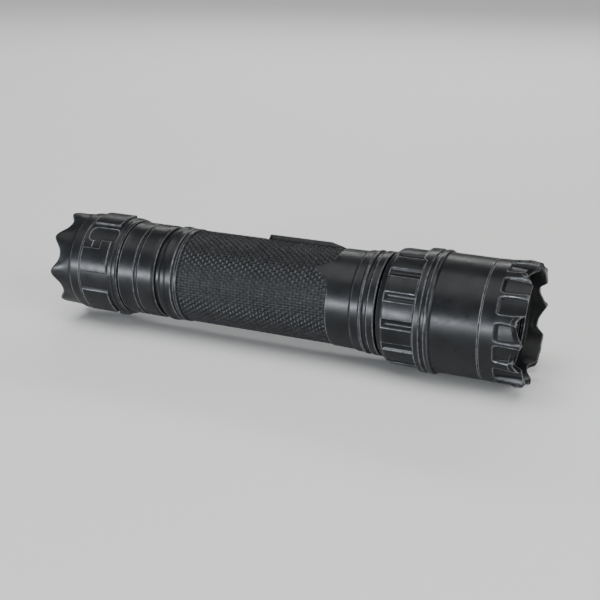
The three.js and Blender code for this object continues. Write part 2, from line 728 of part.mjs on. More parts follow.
function headBarrel() {
  const profile = [
    [SHELF_START, 0], [SHELF_START, DRIVER_BORE_R], [TENON_START, DRIVER_BORE_R],
    [TENON_START, THREAD_MALE_R - CHAMFER], [TENON_START + CHAMFER, THREAD_MALE_R],
    ...band(FRONT_SEAL_START, FRONT_SEAL_START + SEAL_WIDTH, THREAD_MALE_R, FRONT_SEAL_R),
    [TENON_END, THREAD_MALE_R], [TENON_END, NECK_R],
    ...band(SNAP_GROOVE[0], SNAP_GROOVE[1], NECK_R, SNAP_GROOVE_R),
    [FLANGE_START, NECK_R], [FLANGE_START, FLANGE_R - FLANGE_CHAMFER],
    [FLANGE_START + FLANGE_CHAMFER, FLANGE_R],
    ...band(FLANGE_LINE[0], FLANGE_LINE[1], FLANGE_R, FLANGE_LINE_R, 0.4),
    [FLANGE_END, FLANGE_R], [FLANGE_END + FLANGE_CHAMFER, HEAD_R + TRIM],
    [BARREL_END - CHAMFER, HEAD_R - TRIM], [BARREL_END, HEAD_R - CHAMFER],
    [BARREL_END, BARREL_THREAD_R], [BARREL_THREAD_START, BARREL_THREAD_R],
    [BARREL_THREAD_START, CAVITY_R], [CAVITY_START, CAVITY_R],
    [CAVITY_START, CHAMBER_R], [SHELF_END, CHAMBER_R], [SHELF_END, 0],
  ];
  let solid = turned(profile, FINE, false).add(indexShoulder());
  for (const angle of SCREW_ANGLES) {
    const hole = bar(SCREW_HOLE_START, SHELF_END + BEYOND, SCREW_HOLE_R, SCREW_OFFSET, angle);
    solid = solid.subtract(hole);
  }
  for (const angle of WIRE_HOLE_ANGLES) {
    const hole = bar(
      SHELF_START - BEYOND, SHELF_END + BEYOND, WIRE_HOLE_R, WIRE_HOLE_OFFSET, angle
    );
    solid = solid.subtract(hole);
  }
  return solid.subtract(
    post(DETENT_STATION, DETENT_HOLE_R, DETENT_HOLE_FLOOR, NECK_R + BEYOND, DETENT_ANGLE)
  );
}

// ---- LED -----------------------------------------------------------------------------------
const STAR_START = SHELF_END + FIT;
const STAR_END = STAR_START + 1.6;
const STAR_R = 9.0;
const SCREW_SHANK_R = 0.65;
const SCREW_HEAD_R = 1.4;
const SCREW_HEAD = 0.95;
const STAR_HOLE_R = SCREW_SHANK_R + 0.5;
const LED_START = STAR_END + FIT;
const LED_HALF = 1.7;
const LED_BASE = 0.6;
const LED_DOME_R = 1.45;

function starBoard() {
  let solid = disc(STAR_START, STAR_END, STAR_R);
  const [low, high] = [STAR_START - BEYOND, STAR_END + BEYOND];
  for (const angle of SCREW_ANGLES) {
    solid = solid.subtract(bar(low, high, STAR_HOLE_R, SCREW_OFFSET, angle));
  }
  for (const angle of WIRE_HOLE_ANGLES) {
    solid = solid.subtract(bar(low, high, WIRE_HOLE_R, WIRE_HOLE_OFFSET, angle));
  }
  return solid;
}

function starScrew(angle) {
  const headEnd = STAR_END + FIT + SCREW_HEAD;
  const shank = bar(SCREW_HOLE_START + SINK, headEnd - SINK, SCREW_SHANK_R, SCREW_OFFSET, angle);
  return shank.add(bar(STAR_END + FIT, headEnd, SCREW_HEAD_R, SCREW_OFFSET, angle));
}

function ledEmitter() {
  const body = block(LED_START, LED_START + LED_BASE, 2 * LED_HALF, -LED_HALF, LED_HALF, 90);
  const sphere = new THREE.SphereGeometry(LED_DOME_R, 20, 12);
  const centre = LED_START + LED_BASE - 0.15;
  const behind = block(
    centre - 2 * LED_DOME_R, LED_START + LED_BASE / 2,
    4 * LED_DOME_R, -2 * LED_DOME_R, 2 * LED_DOME_R, 90
  );
  return body.add(toSolid(sphere.translate(centre, 0, 0)).subtract(behind));
}

function ledCentringRing() {
  return ring(LED_START, REFLECTOR_START - 2 * FIT, RING_INNER_R, RING_OUTER_R);
}

// ---- Reflector, lens and bezel -------------------------------------------------------------
const RING_INNER_R = 2.6; // LED centring ring
const RING_OUTER_R = 4.4;
const REFLECTOR_START = 106.5;
const REFLECTOR_END = LENS_START - GAP;
const REFLECTOR_THROAT_R = 3.2;
const REFLECTOR_MOUTH_R = 12.3;
const REFLECTOR_WALL = 0.7;
const REFLECTOR_STEPS = 7;
const BEZEL_SKIRT_START = 119.6;
const BEZEL_SKIRT_R = BARREL_THREAD_R - GAP;
const BEZEL_BORE_R = LENS_R + GAP;
const BEZEL_SEAL = [123.0, 123.8];
const BEZEL_SEAL_R = 13.7;
const LIP_START = 129.9; // lip that holds the lens seal
const LIP_END = 130.7;
const LIP_R = 12.1;
const MOUTH_R = 13.5; // recess in front of the lip
const RIM_INNER_R = 14.2;
const POCKET_ROOT = 128.5; // closed ends of the pockets between the bezel ridges
const RIM_FLARE = 134.4; // the bezel reaches its full radius
const RIDGE_POCKET_WIDTH = 4.6;
const RIDGE_POCKET_FLOOR = HEAD_R - 0.1;
const NOTCH_DEPTH = 2.0;
const NOTCH_ANGLE = 21; // deepest point, measured from the middle of the tooth
const NOTCH_EDGE_ANGLE = 29; // where the full-length part of the rim begins
const NOTCH_STEPS = 3; // facets of the hollow side of a tooth

// Radius of the parabolic bowl between its throat and its mouth.
function bowlRadius(station) {
  const t = (station - REFLECTOR_START) / (REFLECTOR_END - REFLECTOR_START);
  return Math.sqrt((1 - t) * REFLECTOR_THROAT_R ** 2 + t * REFLECTOR_MOUTH_R ** 2);
}

function reflector() {
  const inside = [];
  const outside = [];
  for (let i = 0; i <= REFLECTOR_STEPS; i++) {
    const t = (i / REFLECTOR_STEPS) ** 1.5;
    const station = REFLECTOR_START + t * (REFLECTOR_END - REFLECTOR_START);
    outside.push([station, bowlRadius(station) + REFLECTOR_WALL]);
    inside.unshift([station, bowlRadius(station)]);
  }
  return turned([...outside, ...inside]);
}

// What is cut away on both sides of one pointed tooth: hollow down from its tip, then up again.
function toothCut(angle) {
  const across = (degrees) => BEZEL_R * Math.sin(radians(degrees));
  const half = [];
  for (let i = 1; i <= NOTCH_STEPS; i++) {
    const depth = NOTCH_DEPTH * Math.sin((Math.PI / 2) * (i / NOTCH_STEPS));
    half.push([LENGTH - depth, across((NOTCH_ANGLE * i) / NOTCH_STEPS)]);
  }
  half.push([LENGTH, across(NOTCH_EDGE_ANGLE)], [LENGTH + BEYOND, across(NOTCH_EDGE_ANGLE)]);
  const mirrored = half.map(([station, y]) => [station, -y]).reverse();
  const low = LIP_R - BEYOND;
  const outline = [[LENGTH - TRIM, 0], ...half, ...mirrored];
  return toSolid(face(extruded(outline, low, BEZEL_R + BEYOND - low), angle));
}

function strikeBezel() {
  let solid = turned(
    [
      [LIP_START, LIP_R], [LIP_START, BEZEL_BORE_R], [BEZEL_SKIRT_START, BEZEL_BORE_R],
      [BEZEL_SKIRT_START, BEZEL_SKIRT_R],
      ...band(BEZEL_SEAL[0], BEZEL_SEAL[1], BEZEL_SKIRT_R, BEZEL_SEAL_R),
      [BEZEL_START, BEZEL_SKIRT_R], [BEZEL_START, HEAD_R - CHAMFER],
      [BEZEL_START + CHAMFER, HEAD_R - TRIM], [POCKET_ROOT, HEAD_R + 2 * TRIM],
      [RIM_FLARE, BEZEL_R], [LENGTH - CHAMFER, BEZEL_R - TRIM],
      [LENGTH, BEZEL_R - CHAMFER - TRIM],
      [LENGTH, RIM_INNER_R], [LIP_END + CHAMFER, MOUTH_R], [LIP_END, LIP_R],
    ],
    FINE
  );
  for (const angle of around(BEZEL_POCKETS, 180 / BEZEL_POCKETS)) {
    const pocket = block(
      POCKET_ROOT, LENGTH + BEYOND, RIDGE_POCKET_WIDTH,
      RIDGE_POCKET_FLOOR, BEZEL_R + BEYOND, angle
    );
    solid = solid.subtract(pocket);
  }
  for (const angle of around(BEZEL_TEETH, 0)) solid = solid.subtract(toothCut(angle));
  return solid;
}

// ---- Assembly ------------------------------------------------------------------------------
const PLASTIC_DARK = 0x2c2f33;
const BOARD_GREEN = 0x1e5a34;

addAnodised("tail_cap", tailCap());
addRubber("tail_button", tailButton());
addPlastic("tail_switch_plunger", tailSwitchPlunger(), PLASTIC_DARK);
addSteel("tail_return_spring", tailReturnSpring());
addPlastic("tail_switch_housing", tailSwitchHousing(), PLASTIC_DARK);
addPlastic("tail_switch_board", tailSwitchBoard(), BOARD_GREEN);
addBrass("tail_retaining_ring", tailRetainingRing());
addBrass("tail_contact_spring", tailContactSpring());
addRubber("tail_oring", torus(REAR_SEAL_START + SEAL_WIDTH / 2, SEAL_FLOOR_R + 0.5, 0.42));

addAnodised("body_tube", bodyTube());
addAnodised("side_button_frame", sideButtonFrame());
addRubber("side_button", sideButton());
addSteel("side_tact_switch", sideTactSwitch());
addPlastic("side_switch_board", sideSwitchBoard(), BOARD_GREEN);
addPlastic("battery_cell", batteryCell(), 0x2f5f9e);
addSteel("battery_top", batteryTop());

addRubber("neck_oring", torus(FRONT_SEAL_START + SEAL_WIDTH / 2, FRONT_SEAL_R + 0.45, 0.38));
addBrass("driver_contact_spring", driverContactSpring());
addBrass("driver_retaining_ring", driverRetainingRing());
addPlastic("driver_board", driverBoard(), BOARD_GREEN);
addPlastic("driver_inductor", driverInductor(), PLASTIC_DARK);

addAnodised("selector_ring", selectorRing());
addSteel("selector_magnet", selectorMagnet());
addSteel("selector_snap_ring", selectorSnapRing());
addSteel("detent_ball", detentBall());
addSteel("detent_spring", detentSpring());

addAnodised("head_barrel", headBarrel());
addPlastic("star_board", starBoard(), 0xd8dad8);
SCREW_ANGLES.forEach((angle, i) => addSteel(`star_screw_${i + 1}`, starScrew(angle)));
addPlastic("led_emitter", ledEmitter(), 0xe8d26a);
addPlastic("led_centering_ring", ledCentringRing(), 0xf2f2ee);
addSteel("reflector", reflector());
addPlastic("lens", disc(LENS_START, LENS_END, LENS_R, FINE), 0xcfdde0);
addRubber("lens_oring", torus(LIP_START - 0.7, BEZEL_BORE_R - 0.75, 0.4));
addRubber("bezel_oring", torus((BEZEL_SEAL[0] + BEZEL_SEAL[1]) / 2, BEZEL_SKIRT_R - TRIM, 0.2));
addAnodised("strike_bezel", strikeBezel());

export default group;
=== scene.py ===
"""Looks of the tactical flashlight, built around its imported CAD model.

Lengths here are millimetres until a mesh is made. A "station" is the distance along the light from
the tips of its tail crown, and an angle round it is in degrees: 0 faces -Y and 90 faces +Z.
"""
import json
import math

import bmesh
import bpy
import numpy as np
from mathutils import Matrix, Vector


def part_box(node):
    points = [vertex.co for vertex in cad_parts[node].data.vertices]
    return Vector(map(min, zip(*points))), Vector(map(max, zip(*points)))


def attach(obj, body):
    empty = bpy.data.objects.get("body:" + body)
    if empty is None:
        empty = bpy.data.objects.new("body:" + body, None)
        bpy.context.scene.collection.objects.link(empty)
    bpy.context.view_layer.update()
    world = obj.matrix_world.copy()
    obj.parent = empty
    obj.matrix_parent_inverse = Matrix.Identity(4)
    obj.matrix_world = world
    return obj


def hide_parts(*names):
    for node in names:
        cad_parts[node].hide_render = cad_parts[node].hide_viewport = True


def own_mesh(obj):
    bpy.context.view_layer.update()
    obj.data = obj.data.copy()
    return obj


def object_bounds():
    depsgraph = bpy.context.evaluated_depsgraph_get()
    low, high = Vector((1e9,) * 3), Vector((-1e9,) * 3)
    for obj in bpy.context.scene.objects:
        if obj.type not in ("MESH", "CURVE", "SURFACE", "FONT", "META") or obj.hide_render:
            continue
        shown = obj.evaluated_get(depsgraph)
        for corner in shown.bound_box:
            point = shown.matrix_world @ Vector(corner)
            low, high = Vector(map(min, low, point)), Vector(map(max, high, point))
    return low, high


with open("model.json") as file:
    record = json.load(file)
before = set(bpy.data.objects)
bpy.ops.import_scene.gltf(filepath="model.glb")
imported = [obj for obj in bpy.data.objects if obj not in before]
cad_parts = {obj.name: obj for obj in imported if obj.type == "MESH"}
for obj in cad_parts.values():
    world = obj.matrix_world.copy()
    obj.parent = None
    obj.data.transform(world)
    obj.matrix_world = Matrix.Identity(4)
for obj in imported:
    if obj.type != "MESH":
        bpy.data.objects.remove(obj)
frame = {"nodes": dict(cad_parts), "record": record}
cad_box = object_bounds()

MM = 0.001
ORIGIN_X = cad_box[0].x  # station 0


def span(node, facets=36):
    """First station, last station and radius of a CAD node that is round the axis.

    The CAD rings have flat facets towards the axes, so their box is a little under their radius."""
    low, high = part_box(node)
    radius = max(high.z, -low.z, high.y, -low.y) / math.cos(math.pi / facets)
    return (low.x - ORIGIN_X) / MM, (high.x - ORIGIN_X) / MM, radius / MM


# ---- Driving dimensions, from the CAD model where a node gives them ---------------------------
LENGTH = (cad_box[1].x - ORIGIN_X) / MM
CAP_END = span("tail_cap")[1]
BODY_THREAD_START, BODY_END, _ = span("body_tube")
SELECTOR_START, SELECTOR_END, SELECTOR_R = span("selector_ring")
BARREL_START, BARREL_END, FLANGE_R = span("head_barrel")
SKIRT_START, _, BEZEL_R = span("strike_bezel")
LENS_START, LENS_END, LENS_R = span("lens")
REFLECTOR_START, REFLECTOR_END, _ = span("reflector", 20)
BUTTON_TIP, BUTTON_END, _ = span("tail_button", 20)

BAND_R = 13.05  # plain bands of the body
GRIP_R = 12.7
COLLAR_R = 13.8
CAP_R = 13.88  # tail cap between its panels
PANEL_R = 14.5
CROWN_R = 13.5
HEAD_R = 15.5
BODY_START = CAP_END + 0.25  # shoulder that the tail cap meets
FLANGE_START = SELECTOR_END + 0.3
BEZEL_START = BARREL_END + 0.15
BORE_R = 9.6  # battery tube
THREAD_R = 11.6  # outside radius of the male threads
THREAD_BORE_R = 11.9
THREAD_PITCH = 1.25
THREAD_DEPTH = 0.45
SEAL_GROOVE = 1.4  # width of the O-ring grooves

SWITCH_ANGLE = 120
DETENT_ANGLE = -50
TONGUE_ANGLES = (51, 189)
KNURL_START, KNURL_END = 40.6, 84.4
KNURL_STARTS = 52
KNURL_PITCH = 2.0

FILLET = 0.2  # usual rounding of a machined edge
FINE_COLUMNS = 480  # a whole number for each crown point, panel and ridge
COVE_COLUMNS = 490  # and for each groove of the selector
KNURL_COLUMNS = 8 * KNURL_STARTS
BARREL_COLUMNS = 360
COLUMNS = 160  # parts that are plain turnings
WELD_DISTANCE = 1e-7  # metres


# ---- Profiles and meshes ----------------------------------------------------------------------
def rounded(points, fillet=FILLET, closed=True, steps=4):
    """The profile with each corner turned into a short arc. A point may give its own fillet third."""
    side_share = 0.45  # share of a side that a corner may take
    long_side, lead = 4, 0.5  # a long side gets a point beside the arc, which keeps its shading flat
    full = [(*p, fillet)[:3] for p in points]
    count = len(full)
    result = []
    for i, (x, r, size) in enumerate(full):
        here = np.array((x, r), float)
        if size == 0 or (not closed and i in (0, count - 1)):
            result.append(here)
            continue
        back = np.array(full[i - 1][:2], float) - here
        ahead = np.array(full[(i + 1) % count][:2], float) - here
        reach_back = min(size, side_share * np.linalg.norm(back))
        reach_ahead = min(size, side_share * np.linalg.norm(ahead))
        first = here + back / np.linalg.norm(back) * reach_back
        last = here + ahead / np.linalg.norm(ahead) * reach_ahead
        if np.linalg.norm(back) > long_side * size:
            result.append(first + (first - here) * lead)
        for t in np.linspace(0, 1, steps):
            result.append((1 - t) ** 2 * first + 2 * t * (1 - t) * here + t * t * last)
        if np.linalg.norm(ahead) > long_side * size:
            result.append(last + (last - here) * lead)
    return np.array(result)


def refined(profile, start, end, step):
    """The profile with extra points every step wherever it runs between two stations."""
    slack = 1e-6
    result = [profile[0]]
    for here in profile[1:]:
        before = result[-1]
        first, last = sorted((before[0], here[0]))
        inside = start - slack <= first and last <= end + slack
        pieces = max(1, math.ceil((last - first) / step - slack)) if inside else 1
        for k in range(1, pieces + 1):
            result.append(before + (here - before) * k / pieces)
    return np.array(result)


def finish_mesh(name, corners, faces, weld=False):
    """A smooth object from corners in millimetres (station, y, z) and its triangles or quads."""
    placed = np.asarray(corners, float) * MM
    placed[:, 0] += ORIGIN_X
    mesh = bpy.data.meshes.new(name)
    mesh.from_pydata(placed.tolist(), [], [list(face) for face in faces])
    if weld:
        work = bmesh.new()
        work.from_mesh(mesh)
        bmesh.ops.remove_doubles(work, verts=work.verts, dist=WELD_DISTANCE)
        bmesh.ops.recalc_face_normals(work, faces=work.faces)
        work.to_mesh(mesh)
        work.free()
    mesh.polygons.foreach_set("use_smooth", [True] * len(mesh.polygons))
    mark_edges(mesh)
    piece = bpy.data.objects.new(name, mesh)
    bpy.context.scene.collection.objects.link(piece)
    return piece


def mark_edges(mesh):
    """Stores how sharply the surface turns at each vertex: edge on ridges and groove in hollows."""
    corners = np.empty(len(mesh.vertices) * 3, np.float32)
    normals = np.empty(len(mesh.vertices) * 3, np.float32)
    ends = np.empty(len(mesh.edges) * 2, np.int32)
    mesh.vertices.foreach_get("co", corners)
    mesh.vertices.foreach_get("normal", normals)
    mesh.edges.foreach_get("vertices", ends)
    corners, normals, ends = corners.reshape(-1, 3), normals.reshape(-1, 3), ends.reshape(-1, 2)
    step = corners[ends[:, 1]] - corners[ends[:, 0]]
    shortest_squared = 1e-12
    squared = np.maximum((step ** 2).sum(1), shortest_squared)
    bends = (
        (ends[:, 0], -2 * (normals[ends[:, 0]] * step).sum(1) / squared),
        (ends[:, 1], 2 * (normals[ends[:, 1]] * step).sum(1) / squared),
    )
    sharpest, hollowest = np.zeros(len(corners)), np.zeros(len(corners))
    for vertex, bend in bends:
        np.maximum.at(sharpest, vertex, bend)
        np.maximum.at(hollowest, vertex, -bend)
    blunt, keen = 700, 4000  # curvatures, per metre
    for label, turn in (("edge", sharpest), ("groove", hollowest)):
        layer = mesh.attributes.new(label, "FLOAT", "POINT")
        level = np.clip((turn - blunt) / (keen - blunt), 0, 1)
        layer.data.foreach_set("value", level.astype(np.float32))


def spare_edges(piece, start, end, share):
    """Lowers the edge values between two stations, for a knurl that is edges all over, so it gets less edge
    abrasion and painted edge highlight.
    """
    mesh = piece.data
    corners = np.empty(len(mesh.vertices) * 3, np.float32)
    level = np.empty(len(mesh.vertices), np.float32)
    layer = mesh.attributes["edge"].data
    mesh.vertices.foreach_get("co", corners)
    layer.foreach_get("value", level)
    station = (corners[::3] - ORIGIN_X) / MM
    level[(station > start) & (station < end)] *= share
    layer.foreach_set("value", level)


def revolve(name, profile, columns=COLUMNS, shape=None, closed=True):
    """Turns a profile of (station, radius) round the axis; shape(x, r, angle) may move its points.

    Each cell is split along its lower diagonal, so that knurl grooves stay straight."""
    rows = len(profile)
    angle = np.arange(columns) * 360 / columns
    x = np.repeat(profile[:, :1], columns, 1)
    r = np.repeat(profile[:, 1:], columns, 1)
    turn = np.repeat(angle[None, :], rows, 0)
    if shape:
        x, r = shape(x, r, turn)
    radians = np.radians(turn)
    corners = np.stack((x, -r * np.cos(radians), r * np.sin(radians)), -1).reshape(-1, 3)
    row = np.arange(rows if closed else rows - 1)[:, None]
    column = np.arange(columns)[None, :]
    next_row, next_column = (row + 1) % rows, (column + 1) % columns
    a = row * columns + column
    b = next_row * columns + column
    c = next_row * columns + next_column
    d = row * columns + next_column
    height = r.reshape(-1)
    low_ac = (height[a] + height[c] <= height[b] + height[d])[..., None]
    first = np.where(low_ac, np.stack((a, b, c), -1), np.stack((a, b, d), -1))
    second = np.where(low_ac, np.stack((a, c, d), -1), np.stack((b, c, d), -1))
    faces = np.concatenate((first.reshape(-1, 3), second.reshape(-1, 3)))
    return finish_mesh(name, corners, faces, weld=not closed)


def ring_section(station, ring_radius, wire_radius, steps=20):
    """Profile of a round-section ring, such as an O-ring."""
    t = np.arange(steps) * 2 * math.pi / steps
    return np.stack((station - wire_radius * np.cos(t), ring_radius + wire_radius * np.sin(t)), 1)


def sweep(name, path, wire_radius, sides=12):
    """A round wire with rounded ends along a path of points in millimetres."""
    path = np.asarray(path, float)
    along = np.gradient(path, axis=0)
    along /= np.linalg.norm(along, axis=1)[:, None]
    nearly_x = (1, 0.001, 0.002)  # never quite along the wire
    across = np.cross(along, nearly_x)
    across /= np.linalg.norm(across, axis=1)[:, None]
    up = np.cross(along, across)
    tip_share, shoulder_share = 0.02, 0.7  # thickness of the last two points at each end
    size = np.full(len(path), wire_radius)
    size[[0, -1]] = wire_radius * tip_share
    size[[1, -2]] = wire_radius * shoulder_share
    t = np.arange(sides) * 2 * math.pi / sides
    circle = np.cos(t)[None, :, None] * across[:, None] + np.sin(t)[None, :, None] * up[:, None]
    corners = (path[:, None] + circle * size[:, None, None]).reshape(-1, 3)
    row, column = np.arange(len(path) - 1)[:, None], np.arange(sides)[None, :]
    after = (column + 1) % sides
    quads = np.stack(
        np.broadcast_arrays(
            row * sides + column, row * sides + after, (row + 1) * sides + after, (row + 1) * sides + column
        ),
        -1,
    ).reshape(-1, 4)
    caps = [list(range(sides))[::-1], [len(corners) - sides + k for k in range(sides)]]
    return finish_mesh(name, corners, quads.tolist() + caps, weld=True)


# ---- Shapes on a turned surface ---------------------------------------------------------------
def smooth(t):
    """0 below 0, 1 above 1 and a soft step between."""
    t = np.clip(t, 0, 1)
    return t * t * (3 - 2 * t)


def off(angle, centre):
    """Signed degrees from a centre angle."""
    return (angle - centre + 180) % 360 - 180


def patch(x, across, x_range, across_range, corner, edge):
    """1 inside a round-cornered patch and 0 outside, with a soft wall as wide as edge."""
    half = np.array((x_range[1] - x_range[0], across_range[1] - across_range[0])) / 2
    dx = np.abs(x - (x_range[0] + x_range[1]) / 2) - half[0] + corner
    dy = np.abs(across - (across_range[0] + across_range[1]) / 2) - half[1] + corner
    outside = np.hypot(np.maximum(dx, 0), np.maximum(dy, 0)) + np.minimum(np.maximum(dx, dy), 0)
    return smooth(0.5 - (outside - corner) / edge)


def thread(start, end, surface_r=THREAD_R, depth=THREAD_DEPTH):
    """Shape of a male thread that fades out at both ends."""
    flank, root = 1.6, 0.3  # steepness of the teeth, and how much of their foot is cut flat

    def shape(x, r, angle):
        phase = (x / THREAD_PITCH - angle / 360) % 1
        tooth = np.clip(flank * (1 - np.abs(2 * phase - 1)) - root, 0, 1)
        fade = smooth((x - start) / THREAD_PITCH) * smooth((end - x) / THREAD_PITCH)
        return x, r - depth * (1 - tooth) * fade * outer_side(r, surface_r)

    return shape


def outer_side(r, radius):
    """1 on the outside surface of a tube and 0 on its bore."""
    skin = 0.8  # less than the thickness of any threaded wall
    return (r > radius - skin).astype(float)


def radial_frame(angle):
    """Unit vectors outwards from the axis at an angle, and sideways round it."""
    turn = math.radians(angle)
    outward = np.array((0, -math.cos(turn), math.sin(turn)))
    return outward, np.cross(outward, (1, 0, 0))


def from_nearest(angle, count, first=0):
    """Degrees from the nearest of several equally spaced angles."""
    pitch = 360 / count
    return np.abs((angle - first + pitch / 2) % pitch - pitch / 2)


# ---- Tail cap ---------------------------------------------------------------------------------
CROWN_POINTS, CROWN_TIP_ANGLE = 8, -1
CROWN_END = 6.7  # step up to the cap's full size
SCALLOP_DEPTH, SCALLOP_REACH = 2.6, 7.0
TIP_SWELL, TIP_END = 0.42, 6.4  # knobs at the tips, fading towards the step
TIP_WIDTH, TIP_EDGE = 0.75, 0.65  # as shares of the way from a tip to the next valley
RIM_THINNING = 0.12  # how far the outside draws in towards the tips
WEB = (5.6, 7.4)  # wall with the button hole
DISH_R, BUTTON_HOLE_R, SWITCH_BORE_R = 10.9, 6.8, 9.9
THREAD_STEP = 15.6
CAP_LINE = (9.8, 10.3)
PANEL_COUNT, PANEL_FIRST = 6, 27
PANEL_X, PANEL_HALF = (10.7, 19.3), 19  # stations and half angle of a raised panel
TAB_X, TAB_HALF = (16.0, 19.3), 5.5  # the notched panels keep only this tab at their upper corner
POCKET_X, POCKET_ANGLES = (11.3, 20.0), (45, 63)  # sunken pocket above each notched panel
POCKET_DEPTH = 0.28
PANEL_CORNER, TAB_CORNER, PANEL_WALL = 0.5, 0.4, 0.25
POCKET_CORNER, NECK_CORNER, SINK_WALL = 1.5, 0.4, 0.35
NECK_X, NECK_ANGLES = (13.3, 15.8), (33, 46)  # and the slot that leads to it


def crown(x, r, angle):
    """Round valleys between knob-like crown points."""
    half = 180 / CROWN_POINTS
    blunt = 0.3
    away = from_nearest(angle, CROWN_POINTS, CROWN_TIP_ANGLE) / half
    eased = np.sqrt(away ** 2 + blunt ** 2) - blunt
    valley = 1 - (1 - eased / eased.max()) ** 2
    reach = smooth(1 - x / SCALLOP_REACH)
    knob = smooth((TIP_WIDTH - away) / TIP_EDGE) * smooth((TIP_END - x) / TIP_END)
    wall_middle = DISH_R + 1.6
    swell = np.where(r > wall_middle, TIP_SWELL * knob - RIM_THINNING * reach, 0)
    return x + SCALLOP_DEPTH * valley * reach, r + swell


def tail_panels(x, r, angle):
    """Raised panels; every other one has a notched corner with a sunken pocket beyond it."""
    outside = (r > CAP_R - 0.35) & (x > CROWN_END + 0.8)
    arc = CAP_R * math.pi / 180
    lift = np.zeros_like(r)
    sink = np.zeros_like(r)
    for i in range(PANEL_COUNT):
        across = off(angle, PANEL_FIRST + i * 360 / PANEL_COUNT) * arc
        half = PANEL_HALF * arc
        if i % 2:
            lift = np.maximum(lift, patch(x, across, PANEL_X, (-half, half), PANEL_CORNER, PANEL_WALL))
            continue
        notch = half - 2 * TAB_HALF * arc
        lift = np.maximum(lift, patch(x, across, PANEL_X, (-half, notch), PANEL_CORNER, PANEL_WALL))
        lift = np.maximum(lift, patch(x, across, TAB_X, (0, half), TAB_CORNER, PANEL_WALL))
        pocket = [(a - PANEL_FIRST) * arc for a in POCKET_ANGLES]
        neck = [(a - PANEL_FIRST) * arc for a in NECK_ANGLES]
        sink = np.maximum(sink, patch(x, across, POCKET_X, pocket, POCKET_CORNER, SINK_WALL))
        slot = patch(x, across, NECK_X, neck, NECK_CORNER, SINK_WALL) * (1 - lift)
        sink = np.maximum(sink, slot)
    height = (PANEL_R - CAP_R) * lift - POCKET_DEPTH * sink
    return x, r + np.where(outside, height, 0)


def shape_tail_cap(x, r, angle):
    """The panels and then the crown, on the turned cap."""
    x, r = tail_panels(x, r, angle)
    return crown(x, r, angle)


def build_tail_cap():
    """Crown, panels, web with the button hole and the threaded bore, as one shell."""
    line_start, line_end = CAP_LINE
    profile = rounded([
        (WEB[1], BUTTON_HOLE_R), (WEB[0], BUTTON_HOLE_R), (WEB[0], DISH_R, 0.5),
        (0, DISH_R + 1.1, 0.4), (0, CROWN_R - 0.2, 0.7), (CROWN_END - 0.1, CROWN_R, 0.35),
        (CROWN_END + 0.35, CAP_R, 0.3), (line_start, CAP_R, 0.1),
        (line_start + 0.15, CAP_R - 0.07, 0.05), (line_end - 0.15, CAP_R - 0.07, 0.05),
        (line_end, CAP_R, 0.1), (CAP_END - 1.6, CAP_R), (CAP_END - 1.1, CAP_R - 0.22),
        (CAP_END - 0.5, CAP_R - 0.22), (CAP_END + 0.05, CAP_R - 0.5),
        (CAP_END + 0.05, THREAD_BORE_R), (THREAD_STEP, THREAD_BORE_R),
        (THREAD_STEP, SWITCH_BORE_R), (WEB[1], SWITCH_BORE_R),
    ])
    profile = refined(profile, 0, line_start - 0.3, 0.3)
    profile = refined(profile, line_end, CAP_END - 1.5, 0.16)
    return revolve("tail_cap_shell", profile, FINE_COLUMNS, shape_tail_cap)


def build_tail_button():
    """Rubber cover with a raised rim and a dished middle."""
    flange_r, button_r, wall_r = 7.6, 6.4, 5.1
    profile = rounded([
        (BUTTON_TIP + 1.6, 0, 0), (BUTTON_TIP + 1.6, wall_r - 0.7), (BUTTON_TIP + 2.0, wall_r),
        (BUTTON_END, wall_r), (BUTTON_END, flange_r), (BUTTON_END - 0.8, flange_r),
        (BUTTON_END - 0.8, button_r), (BUTTON_TIP + 2.2, button_r, 1.2),
        (BUTTON_TIP + 0.8, 0.77 * button_r, 0.8), (BUTTON_TIP + 0.55, 0.69 * button_r),
        (BUTTON_TIP + 0.75, 0.64 * button_r), (BUTTON_TIP + 0.4, 0.6 * button_r),
        (BUTTON_TIP + 0.1, 0.4 * button_r, 0.6), (BUTTON_TIP, 0, 0),
    ], closed=False)[::-1]
    return revolve("tail_button_cover", profile, COLUMNS, closed=False)


# ---- Body tube --------------------------------------------------------------------------------
PAD_X, PAD_SLOPE, PAD_TOP, PAD_HALF, PAD_CORNER = (61.0, 84.0), 79.8, 13.6, 4.0, 1.6
BUTTON_X, BUTTON_HALF, BUTTON_FLOOR = (62.6, 79.2), 3.4, 10.3
PAD_WALL, SLOT_WALL, PAD_SURROUND = 0.3, 0.16, 0.6
TONGUE_LENGTH, TONGUE_HALF, TONGUE_FLARE, TONGUE_WALL = 5.2, 2.9, 2.7, 0.25
KNURL_DEPTH, KNURL_FLANK, KNURL_FLOOR_R = 0.42, 1.35, GRIP_R - 0.28
KNURL_WEAR_AND_HIGHLIGHT = 0.2  # share of the usual edge wear and painted edge highlight
THREAD_X = (16.0, 20.2)  # male thread that takes the tail cap
SOCKET_START = 89.0  # female thread that takes the head
REAR_LINE = (27.2, 28.5)
DEEP_GROOVE, DEEP_GROOVE_R = (33.6, 35.1), 12.0
RIDGE, RIDGE_R = (35.8, 37.2), 13.3
FRONT_LINE = (38.9, 39.8)
COLLAR_FOOT, COLLAR_LOW_R = 90.8, 13.45
COLLAR_LINE, COLLAR_LINE_R = (94.3, 95.8), 13.3


def knurl_height(x, angle):
    """Height of the small-topped diamonds above their grooves."""
    around = angle * KNURL_STARTS / 360
    along = (x - KNURL_START) / KNURL_PITCH
    left = np.abs((around + along + 0.5) % 1 - 0.5) * 2
    right = np.abs((around - along + 0.5) % 1 - 0.5) * 2
    return KNURL_DEPTH * np.minimum(np.minimum(left, right) * KNURL_FLANK, 1)


